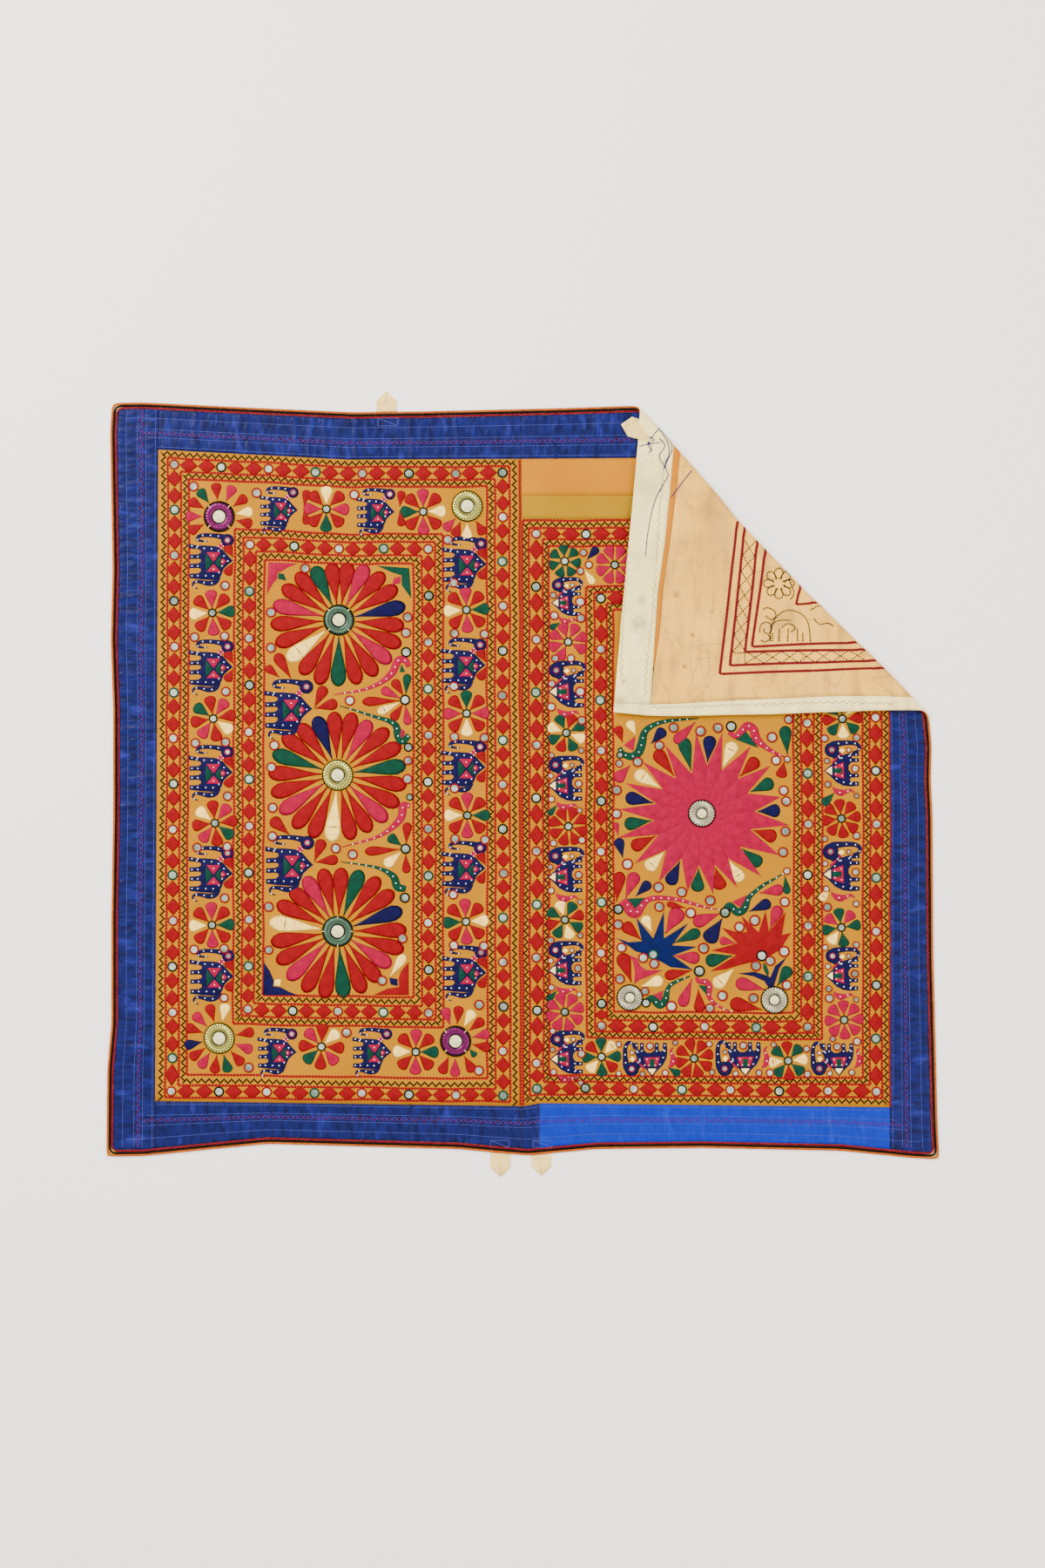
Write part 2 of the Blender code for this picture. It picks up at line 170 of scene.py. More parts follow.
# Wheels: (x, y, first petal's bearing, petals' colours clockwise, their reach)
WHEELS = (
    (389.4, 712, 115.0, "grrprrnrrprrgrrbrrprr",
     (60, 58, 59, 63, 67, 69, 70, 67, 69, 69, 69, 69, 68, 70, 68, 67, 70, 71, 70, 68, 65)),
    (388, 889, 110.5, "nrrprrgrrprrbrrprrgrr",
     (63, 64, 65, 64, 70, 72, 71, 72, 71, 70, 68, 69, 70, 71, 72, 72, 72, 72, 71, 70, 65)),
    (388, 1069, 121.0, "prrgrrnrrprrgrrprrbrr",
     (65, 66, 65, 67, 70, 71, 70, 71, 71, 65, 67, 69, 69, 71, 72, 72, 71, 70, 71, 69, 65)),
)
# Petals round the left panel's corner rosettes: (x, y, how far out, their colours, their bearings)
CORNER_PETALS = (
    (251.8, 593.2, 33.5, "grprcrrpr", (127, 95.7, 65.4, 36, 9.3, -12.8, 151.3, 179.4, 206.7)),
    (536.5, 581.2, 32.5, "prcr", (-134, -113, -90, -59)),
    (251.8, 1191.8, 35.3, "crprgrprnrpr", (79, 11, -20, -48, -74.5, -98, 237, 215, 192, 161, 136, 107)),
    (523.2, 1195.2, 35.3, "prcrprrpr", (109, 84.5, 60, 38, 13, -11, -60, -91, -114)))
# Drops: (colour, x and y of the round end, x and y of the tip, width)
DROPS = (
    ("r", 352, 567, 349, 581, 9), ("r", 352, 598, 349, 584, 9), ("r", 461, 568, 459, 582, 9),
    ("r", 461, 600, 459, 586, 9), ("r", 320.2, 755.6, 334.4, 779.2, 12), ("r", 309.1, 768, 321.1, 777.8, 9),
    ("r", 370.6, 793.2, 361, 812.5, 12), ("r", 381.8, 808.6, 361.5, 813.5, 12), ("r", 454.4, 784.6, 463.5, 799, 10),
    ("p", 442.4, 793.2, 460, 802, 10), ("r", 421, 805.4, 459, 804.4, 10), ("b", 437.5, 816.5, 460, 806, 9),
    ("r", 453, 822.5, 463, 808, 10), ("p", 468.1, 828, 465.8, 809, 9), ("g", 467.6, 778, 466, 798, 9),
    ("r", 368.6, 969.1, 361, 989, 12), ("r", 383, 987.1, 361.6, 989.8, 11), ("r", 316.4, 943.9, 332.6, 958.3, 13),
    ("r", 424, 977.2, 460, 975, 10), ("g", 450.5, 962.8, 461.5, 971, 11), ("r", 467.6, 949, 466.5, 969, 10),
    ("g", 544, 1210, 539, 1204, 7), ("c", 446, 990.5, 461, 978, 11), ("r", 466.7, 998, 465.8, 980, 9),
    ("c", 462.2, 1100, 448, 1121, 10), ("n", 683.5, 632, 673.5, 643, 9), ("c", 679.6, 667, 670.7, 653.5, 8),
    ("g", 634.5, 719.8, 643.5, 714.5, 7), ("r", 710.2, 838.3, 715, 852.4, 10), ("c", 724.4, 832, 730, 843.7, 10),
    ("n", 759.1, 841.4, 747.6, 854, 12), ("p", 778.8, 848.5, 798.6, 829, 12), ("g", 901.6, 839.8, 904.2, 866.6, 13),
    ("r", 897.6, 887.1, 900.3, 874.5, 12), ("p", 711, 891.8, 723.6, 878.4, 13), ("p", 707.5, 947, 709.9, 960, 6),
    ("n", 711, 967.5, 715.3, 984.9, 11), ("r", 711.2, 1007, 707.9, 1035.4, 13),
    ("p", 727.6, 1008, 718.1, 1031.5, 14), ("n", 742.5, 1016.5, 730, 1029, 11),
    ("c", 742, 1056.5, 748.4, 1070.1, 11), ("r", 720.5, 1064.5, 736.3, 1078.8, 13),
    ("p", 777, 1050.5, 764.2, 1071.7, 17), ("r", 769, 1038.2, 788.3, 1042.5, 7),
    ("p", 802.5, 1057.5, 827.3, 1048.3, 14), ("n", 816.5, 1074.5, 829.3, 1054.3, 17),
    ("g", 798.5, 1071.5, 773.3, 1082.7, 12), ("p", 830.5, 1080, 845.1, 1082.7, 9),
    ("p", 797, 1099.5, 774.1, 1097.2, 13), ("g", 817, 1102.5, 841.1, 1096.9, 14),
    ("r", 768.5, 1119.5, 794.6, 1113.8, 11), ("r", 715.8, 1101.5, 725.2, 1127.7, 15),
    ("c", 755.5, 1126.2, 736.3, 1132.4, 12), ("p", 784.5, 1150, 794.6, 1123.7, 12),
    ("r", 803.3, 1156, 801.7, 1135.6, 12), ("b", 825.5, 1128, 842.7, 1111.9, 14),
    ("p", 851.5, 1129, 879, 1136.3, 14), ("r", 845.5, 1152.5, 875.1, 1159.2, 15),
    ("g", 903.5, 1115.5, 892.4, 1131.6, 13), ("p", 893.5, 1021.5, 871.9, 1025.2, 12),
    ("g", 632, 933, 640, 923.5, 7), ("g", 631.5, 1146, 640, 1136.5, 7), ("g", 948, 920.5, 958, 910, 10),
    ("b", 945, 1030, 953, 1018, 9), ("g", 777, 1231.5, 767, 1225.5, 9), ("g", 903.5, 1022.5, 901.1, 1004.7, 8),
    ("n", 879.5, 1038, 860.1, 1046.4, 12), ("p", 892.5, 1046, 883.7, 1067, 13))
# The pink sun: (x, y), tips as (bearing, reach), the notches between them and the drops in the notches
SUN = (806, 934)
SUN_TIPS = (
    (94.1, 92.8), (75.8, 95.5), (54.2, 94.7), (34.9, 95.7), (12, 92.4), (-7.5, 101), (-28.3, 100.8), (-46.6, 99.4),
    (-64.5, 94), (-82, 93), (-100.5, 91), (-122.3, 92), (-143.3, 95.8), (-163.9, 101), (-183, 95), (-201.7, 94.6),
    (-221.1, 90.4), (-241.8, 89))
SUN_NOTCHES = (
    (83.9, 55), (65.6, 54), (44.3, 56.9), (24.1, 56.7), (2.3, 59.7), (-18, 57.7), (-41.1, 57.1), (-59.8, 59),
    (-75.8, 59.9), (-93.4, 59), (-114.8, 56), (-134.6, 58.2), (-154.1, 55.2), (-172, 54.5), (-192.4, 52.8),
    (-211.8, 52.3), (-233.6, 49.7), (-255.9, 46.7))
SUN_DROPS = "nbrgnrgbrgnbrgnbrg"
SUN_DROP_REACH = 88
# Shapes with straight sides: (colour, corners)
SHAPES = (
    ("blue", ((707.1, 1076.4), (721.5, 1081.5), (737, 1080.4), (730.7, 1053.6), (750, 1077.2), (762.3, 1046.5),
              (762.3, 1077.2), (789.9, 1059.9), (771.7, 1085.1), (800.1, 1086.7), (772.5, 1096.9), (795.4, 1113.2),
              (779.6, 1111.1), (770, 1110.3), (759.1, 1104), (738.6, 1094.6), (730, 1092.2), (722.8, 1086.7))),
    ("red", ((828.5, 1064.9), (849, 1070.9), (857.7, 1069.6), (851.4, 1051.2), (871.1, 1070.1), (879, 1045.7),
             (882.9, 1069.3), (901.9, 1047.2), (897.9, 1073.3), (908.2, 1070.9), (901.9, 1080.4), (896.4, 1089.8),
             (880.6, 1099.3), (864.8, 1104), (849, 1108), (833.3, 1112.7), (815.9, 1114.8), (845.9, 1096.1),
             (816.7, 1091.1), (846.7, 1082.7))),
    ("pink", ((721.3, 1095.8), (731.5, 1100.1), (735.5, 1108.8), (741.8, 1113.5), (760.7, 1113.8), (743.3, 1121.4),
              (734.7, 1124.5), (728.4, 1129.3), (729.1, 1115.1), (726.8, 1104))),
    ("navy", ((847.5, 1117.4), (866.4, 1115.4), (880.6, 1119.8), (884.5, 1122), (890, 1108.8), (903.4, 1098.5),
              (894.8, 1111.9), (888.4, 1132.4), (882.1, 1133.2), (877.4, 1126.1), (864.8, 1120.6))),
    ("green", ((876.6, 1104), (880, 1108), (883, 1116), (882, 1121), (878.6, 1117), (876, 1111))),
    ("pink", ((308.3, 645.3), (342.4, 647), (330.5, 651.3), (322.8, 656.4), (318.5, 657.3), (318.5, 664.1),
              (313.4, 670.1), (306.5, 682.1))),
    ("green", ((319.5, 657.8), (326.2, 659), (328.8, 666.7), (319.5, 664.6))),
    ("green", ((433, 649.6), (469.8, 652.2), (472.4, 687.2), (461.4, 671.8), (461, 660.6), (450.1, 657.1))),
    ("pink", ((452.7, 663.3), (460, 661.9), (460, 669.3), (450.1, 671.8))),
    ("navy", ((302.9, 1104.1), (310.1, 1114.9), (314.6, 1125.7), (313.7, 1132), (322.7, 1133.3), (331.7, 1138.3),
              (342.5, 1142.3), (302, 1142.3))),
    ("cream", ((315.6, 1124.8), (322.7, 1123.9), (321.8, 1131.3), (314.9, 1131))),
    ("red", ((469.4, 1104.1), (469.5, 1142.3), (428.9, 1142.3), (445.1, 1134.7), (458.3, 1132.9), (457.8, 1123.9),
             (460.5, 1114.9))),
    ("navy", ((446.9, 1122.1), (456.5, 1123.9), (456.8, 1131.9), (448.7, 1130.2))),
    ("green", ((460.8, 762), (459, 771.7), (465.4, 771.7))),
    ("pink", ((460.4, 836), (465.5, 840), (463, 847), (459.6, 846))),
)
# Birds, as a line with half its width: (colour, wing's colour, line, wing)
BIRDS = (
    ("pink", "green", ((383.5, 797.5, .5), (415.1, 792.3, 1.5), (435.6, 784.6, 2.6), (450.1, 772.7, 4.2),
                       (457, 758.6, 4.4), (464.7, 757.6, 4), (470, 765, 3)), ()),
    ("green", "pink", ((390.3, 810.3, .5), (411, 816.5, 1.2), (428.8, 822.3, 1.8), (445.9, 827.4, 2.8),
                       (454.8, 833.4, 4), (457, 844.5, 4.5), (462, 851, 4.2), (469.8, 844, 3.4)), ()),
    ("pink", "green", ((392.9, 972.3, .5), (429.8, 961.9, 1.7), (447.8, 952, 3), (460.5, 938.7, 4.6),
                       (463.1, 925.2, 4.6), (471, 925, 2.5)), ()),
    ("green", "pink", ((391.1, 989.3, .5), (426.2, 994.3, 1.4), (442.4, 999.7, 2.6), (452.3, 1007, 4.2),
                       (456.5, 1018, 4.8), (466, 1020.3, 3.4)), ()),
    ("green", "pink", ((801.7, 824.8, .6), (779.6, 826.4, 1.6), (764.6, 828, 2.2), (749.7, 832.7, 3),
                       (740.2, 840.6, 4), (737, 853.2, 5), (733, 864, 5), (724.5, 868.5, 4.4),
                       (715, 865, 3.4), (711.2, 858.5, 2.6)),
     ((716.5, 855.5), (729.2, 845), (728.5, 853), (727, 862))),
    ("pink", "green", ((836.4, 840.6, 2.2), (845.1, 845.3, 3.4), (851, 839.8, 4.2), (857.7, 833.3, 4.6),
                       (864.8, 837, 5), (868.5, 848, 5), (877.4, 856.6, 3.2), (888.4, 863.5, 2), (903.4, 870.5, .7)),
     ((845.1, 849.3), (856.8, 839.8), (862.5, 847.5), (871, 858.7))),
    ("pink", "green", ((711, 1040, 2.4), (719, 1035.5, 4), (722.5, 1044, 6), (730, 1048, 6), (736, 1040, 5),
                       (743, 1033.5, 3.4), (754.4, 1030.7, 2.8), (773.3, 1031.8, 2.4), (789.1, 1035.4, 2),
                       (807.2, 1040.6, 1.4), (826.1, 1044.4, .5)),
     ((719.7, 1031.5), (740.2, 1030.7), (733.9, 1038), (729.2, 1043.3), (725.2, 1037))),
    ("green", "pink", ((832.5, 1043, 3), (838, 1039.5, 4), (846.7, 1047.2, 4.6), (854.5, 1043, 4.6),
                       (858.5, 1033, 3.4), (863.2, 1026.7, 2.6), (875.8, 1016.5, 2), (886.9, 1010.2, 1.4),
                       (901.1, 1001.5, .5)), ((840.5, 1035.4), (857.5, 1027.5), (850.5, 1041.7))),
    ("green", "pink", ((742.6, 1147.4, 2.4), (749, 1146, 4), (757.5, 1153.7, 4.6), (764, 1147.4, 4.2),
                       (765.5, 1140, 3.2), (768, 1133, 2.4), (775, 1127.5, 2), (792.2, 1120.6, .8)),
     ((750, 1141.9), (761.5, 1137.1), (759.1, 1149))),
    ("pink", "green", ((799.4, 1121.4, 1.8), (802.5, 1126.5, 2.6), (811, 1127.5, 3.6), (814.5, 1134, 3.6),
                       (813.5, 1141.1, 3), (816.7, 1148.2, 2.2), (827, 1156.1, 1.4), (839.5, 1161, .5)),
     ((801.7, 1130.8), (811.2, 1131.6), (812, 1142.7))),
)
# Small mirrors that stand alone: (x, y, colour of the ring, share of the usual size)
MIRRORS = (
    (222.3, 558.5, "r", 1), (294.8, 565.9, "r", 1), (407, 568, "r", 1), (514.3, 619.8, "r", 1),
    (350.5, 652.5, "r", 1), (311.3, 703.1, "r", 1), (311.3, 743.6, "r", 1), (468.1, 708.6, "r", 1),
    (466.4, 726.5, "r", 1), (466.4, 748.7, "k", 1), (401.8, 804.3, "r", 1), (465.2, 803.5, "k", 1),
    (315.1, 855.6, "r", 1), (311.7, 880.9, "r", 1), (468.9, 857.8, "k", .9), (468.6, 873.2, "r", .9),
    (468, 894.4, "r", 1), (313.2, 927.3, "r", 1), (312.8, 960.1, "r", 1), (470.5, 915, "k", .7),
    (385.7, 974.1, "r", 1), (405, 980.8, "r", 1), (465.8, 974.5, "k", 1), (464.9, 1030.6, "k", 1),
    (308.8, 1041.1, "r", 1), (308.8, 1090.6, "r", .9), (462.2, 1077.1, "r", 1), (438.8, 1125.7, "r", 1),
    (669.8, 634.5, "r", .8), (676.2, 648.5, "r", .8), (666.3, 655.8, "r", .8), (635.3, 683.4, "r", .7),
    (666.3, 691, "r", 1), (636.5, 706.8, "r", .9), (667, 709.8, "r", .9), (637.4, 756, "r", .8),
    (655.5, 755.7, "r", .8), (633.7, 785, "r", .8), (666.3, 794, "r", 1), (633, 811.5, "r", .9),
    (668, 827, "r", .9), (757.1, 856, "r", 1), (732.3, 874.8, "r", 1), (711, 876.4, "r", .8),
    (708.2, 907.1, "r", 1), (708.2, 934.4, "r", 1), (720.5, 992, "r", 1.1), (756, 1018.5, "r", 1.05),
    (773.6, 835.4, "r", 1), (804.5, 839.5, "r", 1.05), (824.3, 835.8, "r", 1), (839.6, 834, "k", 1.05),
    (886.4, 846.4, "r", 1.05), (891.1, 872.9, "r", 1), (903.9, 871.8, "r", .7), (899.8, 907.6, "r", 1),
    (902.7, 919.9, "r", 1), (901.9, 954.5, "r", 1), (899.2, 978.3, "r", 1), (903.5, 1000, "r", .75),
    (905.5, 826, "r", .9), (711.8, 866.9, "k", .7), (709.9, 1043.8, "k", 1), (709.9, 1061.1, "r", 1),
    (713.7, 1087.9, "r", 1), (738.6, 1099.6, "r", 1), (750, 1095.7, "g", 1), (751.2, 1106.4, "r", 1),
    (711.8, 1123.7, "r", 1), (740.7, 1137.9, "r", .85), (741.8, 1151.3, "k", .9), (771, 1155.3, "r", 1.1),
    (815.1, 1157.3, "r", .95), (829.6, 1143.1, "r", 1.05), (808, 1088.5, "r", 1.1), (793, 1048, "r", 1.05),
    (757.1, 1040.9, "r", 1), (782.8, 1024.1, "r", 1.05), (815.6, 1033.8, "r", 1.05), (832.5, 1047.6, "k", 1.05),
    (803, 1114.8, "k", 1.1), (849, 1064.3, "r", 1.05), (866.7, 1056.7, "r", 1.1), (901.1, 1035.4, "r", 1),
    (900.3, 1092.2, "r", 1.1), (884.5, 1102.9, "r", 1), (874.7, 1097, "k", 1.1), (868, 1108.8, "r", 1.05),
    (903.4, 1130.8, "r", 1), (865.1, 1145.8, "r", 1), (946.8, 847.8, "r", .8), (983.5, 847, "r", .8),
    (983.5, 959.5, "r", .8), (947, 963, "r", .65), (950, 1041.4, "r", .9), (983, 1037.5, "r", .7),
    (947.4, 1087.6, "r", .65), (983.1, 1084.7, "r", .7), (952.4, 1145.9, "r", .9), (956, 1192.4, "r", .65),
    (984.1, 1195.6, "r", .85), (667.3, 861.5, "r", .65), (633.3, 867, "r", .6), (668.1, 964.4, "r", .8),
    (635.6, 968, "r", .75), (666.3, 1073.7, "r", .65), (632.7, 1079.4, "r", .75), (633.3, 1133.6, "r", .7),
    (634.6, 1183.6, "r", .65), (667.6, 1209.6, "r", .85), (710.4, 1198.6, "r", .65), (710.3, 1232.1, "r", .6),
    (775.3, 1197, "r", .6), (814.4, 1198.4, "r", .65), (817.6, 1230.6, "r", .65), (888.3, 1198.9, "r", .6),
    (925.9, 1204.1, "r", .7), (884, 1231.6, "r", .8), (927.3, 1233, "r", .75), (285.6, 1225.4, "r", 1),
    (398, 1185.4, "r", 1), (550, 1229, "r", 1), (550.3, 1153.5, "r", 1), (257.4, 1145.5, "r", .9))
MIRROR_COLOURS = {"r": "red", "p": "pink", "g": "green", "k": "black"}
# Elephants: (x, y, quarter turns, share of the usual size), legs to the left and to the right
LEFT_ELEPHANTS = (
    (242, 643, 0, 0.95), (242, 765, 0, 0.95), (242, 886, 0, 0.95), (242, 1002, 0, 0.95), (243, 1120, 0, 0.95),
    (533, 647, 0, 0.95), (532, 763, 0, 0.95), (532, 880, 0, 0.95), (532, 996, 0, 0.95), (533, 1116, 0, 0.95),
    (320, 585, 0, 0.82), (431, 587, 0, 0.82), (318, 1207, 0, 0.84), (427, 1207, 0, 0.84), (331, 813, 0, 1.03),
    (332, 992, 0, 1.03))
RIGHT_ELEPHANTS = (
    (650, 689.3, 0, 0.85), (650, 790.7, 0, 1.03), (648.6, 898.6, 0, 0.99), (648.5, 1003.4, 0, 1),
    (648.3, 1110.6, 0, 0.97), (650.2, 1212.5, 0, 0.95), (966, 881.4, 0, 1), (965.3, 1000, 0, 1.08),
    (966.3, 1117, 0, 0.95), (745.5, 1216.5, 1, 0.97), (852.5, 1216, 1, 0.99), (960.2, 1216.5, 1, 0.94))
# The two elephants, in steps from the middle of the saddle: outline, and lines with half their width
ELEPHANTS = {
    "left": {
        "body": ((-26.5, 19.7), (-15.9, 17.6), (-5.6, 17.6), (6.3, 16.6), (14.9, 12.4), (20.9, 5.5), (27, -0.9),
                 (20.9, -5.5), (15.7, -10.7), (13.2, -17.5), (9.7, -23.5), (1.2, -24.3), (-10.8, -23.5),
                 (-25.5, -21.8), (-25.5, -16.4), (-15, -16), (-11.6, -13.4), (-12, -10.6), (-15, -9.6),
                 (-25.5, -9.8), (-25.5, -4.6), (-15, -4), (-11.6, -1.9), (-12, 0.8), (-15, 1.5), (-25.5, 1.3),
                 (-25.5, 6.7), (-15, 7), (-11.6, 9.2), (-12, 11.8), (-15, 13), (-26.5, 14.3)),
        "back": 13,
        "lines": (("navy", ((20, 25, 5), (14, 27.8, 3.6), (4, 29.6, 2.7), (-8, 30, 2.4), (-14.5, 28.4, 2.2),
                            (-15.6, 24.6, 1.8), (-10, 22.8, 1.2), (-4, 22.6, 0.7))),
                  ("navy", ((11, -20.5, 1.4), (6, -26.5, 2.8), (-2, -28.2, 3.2), (-12, -26.4, 2.3),
                            (-18.5, -26.2, 1.7), (-21.6, -29.5, 1.2), (-19, -33, 0.8), (-15.5, -34.6, 0.6)))),
        "head": (20.4, 23.8, 7.8),
        "legs": (-22.5, -15.5, (17, 4, -7.2, -19)),
        "patches": (("pink", ((-5.2, 9.4), (12, 9.4), (3.6, -2.4))), ("pink", ((3.6, -4.4), (12.4, -14.2), (-5, -14.2))),
                    ("green", ((-6, 8), (2.6, -3.2), (-6, -13))), ("green", ((12.4, 6.4), (5.2, -3.2), (12.4, -11.6))),
                    ("pink", ((12.6, 0.6), (15.2, 2.4), (18.8, -1.8), (15.2, -6), (12.6, -4.2), (11, -1.8))),
                    ("pink", ((7.6, 16.6), (13, 21.4), (16.6, 16.8), (12.6, 12.6)))),
    },
    "right": {
        "body": ((20, -20.6), (10, -21.4), (2, -20.4), (-6, -16.4), (-12, -10.2), (-20, -3.4), (-12, 3.2),
                 (-5, 9.2), (0, 14), (8, 16.8), (20, 17.6), (20, 13.6), (12.6, 13.5), (11.4, 12.2), (12.6, 11),
                 (20, 11), (20, 6.7), (11.4, 6.4), (8.4, 2.4), (8.4, -2.2), (11.6, -6.4), (20, -6.6),
                 (20, -11), (11.6, -11.2), (9.4, -13.4), (11.6, -15.8), (20, -16)),
        "back": 11,
        "lines": (("navy", ((-13, 23.4, 4.6), (-8, 27, 4), (2, 28.4, 3), (12, 28.6, 2.6), (18, 27, 2.3),
                            (20.6, 23.4, 2), (18, 18.9, 1.6), (13, 18.4, 1))),
                  ("navy", ((-11, 20, 6.4), (-5.5, 14, 5), (1, 9.5, 4))),
                  ("pink", ((-11.4, 5.6, 0.9), (-6.5, 9.8, 1.4), (-2, 14.2, 1.5), (0.6, 18, 1))),
                  ("pink", ((-10, -22.4, 0.6), (-6, -26.4, 2.8), (-0.6, -28.6, 3.8), (5, -27.4, 2.4),
                            (11, -25.6, 1.4), (14.6, -28.4, 0.8)))),
        "head": (-10.9, 20.6, 8.6),
        "legs": (17, 10.5, (15.2, 8.8, -8.8, -18.4)),
        "patches": (("pink", ((2.6, 6.4), (3.4, -12.8), (-8.4, -9), (-8.6, 2.2))),
                    ("green", ((-8.6, -0.4), (0.8, -0.2), (0.8, -6.4), (-8.6, -6.2))),
                    ("cream", ((-18, -3.4), (-10.6, 1.8), (-10.6, -8.4))),
                    ("cream", ((-3, 20), (1, 23), (4.4, 20), (1, 16.6)))),
    },
}

# Mirrors beside a right elephant, in steps from the middle of its saddle
SIDE_MIRRORS = ((8.5, 20.5, "r", 0.5), (-16.5, 8, "r", 0.62), (16, -1, "r", 0.8), (-15.5, -19, "r", 0.7),
    (17.5, -32, "r", 0.58))

# Rosettes: (node, x and y in millimetres, radius in millimetres, make)
ROSETTES = (
    ("purple_top", -523, 461, 27, "purple"), ("gold_top", -96, 479, 27, "gold"),
    ("green_high", -317, 283, 27, "green"), ("gold_middle", -319, 16, 27, "gold"),
    ("green_low", -319, -253, 27, "green"), ("gold_bottom", -523, -437, 27, "gold"),
    ("purple_bottom", -116, -442, 27, "purple"), ("silver_sun", 308, -50, 24, "silver"),
    ("silver_left", 184, -367, 23, "silver"), ("silver_right", 433, -371, 24, "silver"))
# A rosette's section: (share of the radius, millimetres up)
ROSETTE_SECTIONS = {
    "purple": (
        (0, 2.6), (.2, 2.7), (.40, 2.5), (.44, 1.8), (.48, 3.4), (.56, 4.2), (.64, 3.6), (.70, 4.0), (.78, 3.9),
        (.86, 3.1), (.94, 2.0), (1, .6)),
    "green": (
        (0, 2.6), (.2, 2.7), (.42, 2.5), (.46, 1.8), (.50, 3.4), (.58, 4.0), (.66, 3.4), (.72, 4.0), (.80, 3.9),
        (.88, 3.0), (.95, 2.0), (1, .6)),
    "gold": (
        (0, 2.5), (.22, 2.6), (.40, 2.4), (.45, 1.7), (.49, 3.5), (.54, 2.7), (.59, 3.9), (.64, 3.1), (.72, 4.2),
        (.80, 3.2), (.90, 3.6), (1, .6)),
    "silver": (
        (0, 3.6), (.2, 3.5), (.33, 3.2), (.37, 2.9), (.42, 3.4), (.56, 4.1), (.70, 4.4), (.84, 4.1), (.94, 3.0),
        (1, .6))}
# How a rosette is stamped round: (from share, to share, bosses, millimetres deep)
ROSETTE_STAMPS = {
    "purple": (.62, .98, 28, .6), "green": (.70, .98, 36, .7), "gold": (.60, 1.0, 30, 1.3),
    "silver": (.36, 1.0, 26, 1.9)}

# The back of the corner: rings in flat millimetres, and outlines and threads in steps on the folded corner
BACK_LINES = (
    ((375, 460), (645, 474.5), (627, 204)), ((383, 447), (629, 458), (614, 217)),
    ((404, 423.5), (604, 434), (594, 234)), ((420, 409), (594.5, 423), (581, 248)))
BACK_INNER_LINE = ((920, 669), (914, 694), (942, 691))
BACK_FLOWER = (894, 670)
BACK_PETAL = ((4, 0), (9, 3.6), (14, 4.8), (18, 0), (14, -4.8), (9, -3.6), (4, 0))
BACK_OUTLINES = (
    ((884, 738), (885, 722), (890, 710), (900, 702), (910, 701), (921.4, 706), (928, 716.7), (930, 738)),
    ((872, 728), (872.4, 720), (877, 714.5), (884, 716), (885.6, 723), (881, 728), (876.4, 725), (878, 720.6)),
    ((872, 734), (878, 737.5), (884, 733), (880.6, 728)), ((896, 722), (904, 716), (913, 721), (906, 727)),
    ((886, 738), (887.3, 724.5)), ((893.9, 738), (894.7, 720.6)), ((903.7, 738), (904.9, 720.6)),
    ((915.5, 738), (914.7, 720.6)), ((921.4, 738), (921.4, 724.5)),
    ((874.3, 701), (880.2, 697.8), (888, 701), (890.8, 706.9), (886, 712), (880.2, 708.8), (878.2, 704.9)),
    ((883, 722), (890, 714), (900, 712), (910, 713)), ((929.2, 701), (941, 695), (952.8, 699), (959, 706.9)),
    ((933.1, 708.8), (941, 716.7), (950.8, 714.7), (956.7, 719)), ((905, 664), (912, 680), (906, 690)))
FACING_ZIGZAGS = (
    ((764, 520), (756, 600), (750, 690), (742, 770), (741, 800)), ((722, 580), (718, 680), (713, 780)),
    ((745, 812), (830, 810), (930, 807), (1030, 808)))
# Stains in steps on the folded corner: x, y, radius in millimetres, colour, strength
LINING_STAINS = (
    (795, 729, 5, "#6E4A14", 0.8), (786, 765, 5, "#6E4A14", 0.8), (829, 612, 42, "#B48A4C", 0.7),
    (812, 585, 34, "#98743C", 0.55), (776, 683, 7, "#7A5A22", 0.6), (800, 640, 60, "#B98A44", 0.5),
    (930, 790, 40, "#CB9A4C", 0.4), (817, 702, 4, "#7A5A22", 0.7))
FACING_STAINS = (
    (716, 782, 4, "#8E2A1A", 0.8), (731, 716, 16, "#8C8458", 0.7), (740, 560, 40, "#C6B67C", 0.6),
    (712, 805, 14, "#A08C56", 0.6), (728, 640, 22, "#C9BA84", 0.5), (737, 690, 9, "#7C7650", 0.6))
# Creases in steps on the folded corner
CREASES = (
    ((724, 552), (748, 549), (771, 549)), ((771, 549), (790, 543), (812, 534)), ((726, 560), (768, 566)),
    ((768, 566), (792, 566)), ((757, 588), (790, 545)), ((735, 655), (737, 700)), ((765, 625), (800, 628)),
    ((800, 560), (812, 610)), ((930, 765), (927, 800)), ((770, 772), (800, 764)))
LOOSE_THREADS = (
    ((742, 512), (752, 498), (762, 489), (758, 497)), ((759, 492), (769, 517), (764, 533), (768, 548)),
    ((733, 513), (746, 510), (760, 508)), ((742, 502), (748, 515), (744, 522)),
    ((741, 640), (744, 610), (752, 575), (768, 545)), ((795, 540), (782, 556), (770, 572)),
    ((755, 490), (766, 500), (772, 516), (766, 530), (762, 540)), ((740, 500), (752, 505), (744, 510), (749, 519)),
    ((757, 503), (764, 512), (757, 524), (763, 536)))
# Stitched squares that hold the tabs, in steps: left, right, top, bottom
TAB_STITCHES = ((434, 457, 480, 489), (563, 585, 1309, 1317), (612, 634, 1309, 1317))
TABS = (("tab_top", -0.2348, TOP_EDGE, 0.6765), ("tab_bottom_left", -0.0386, BOTTOM_EDGE, -0.6760),
        ("tab_bottom_right", 0.0315, BOTTOM_EDGE, -0.6740))
CORNER_TAB = ((0.2475, 0.6220), (0.2378, 0.6832))

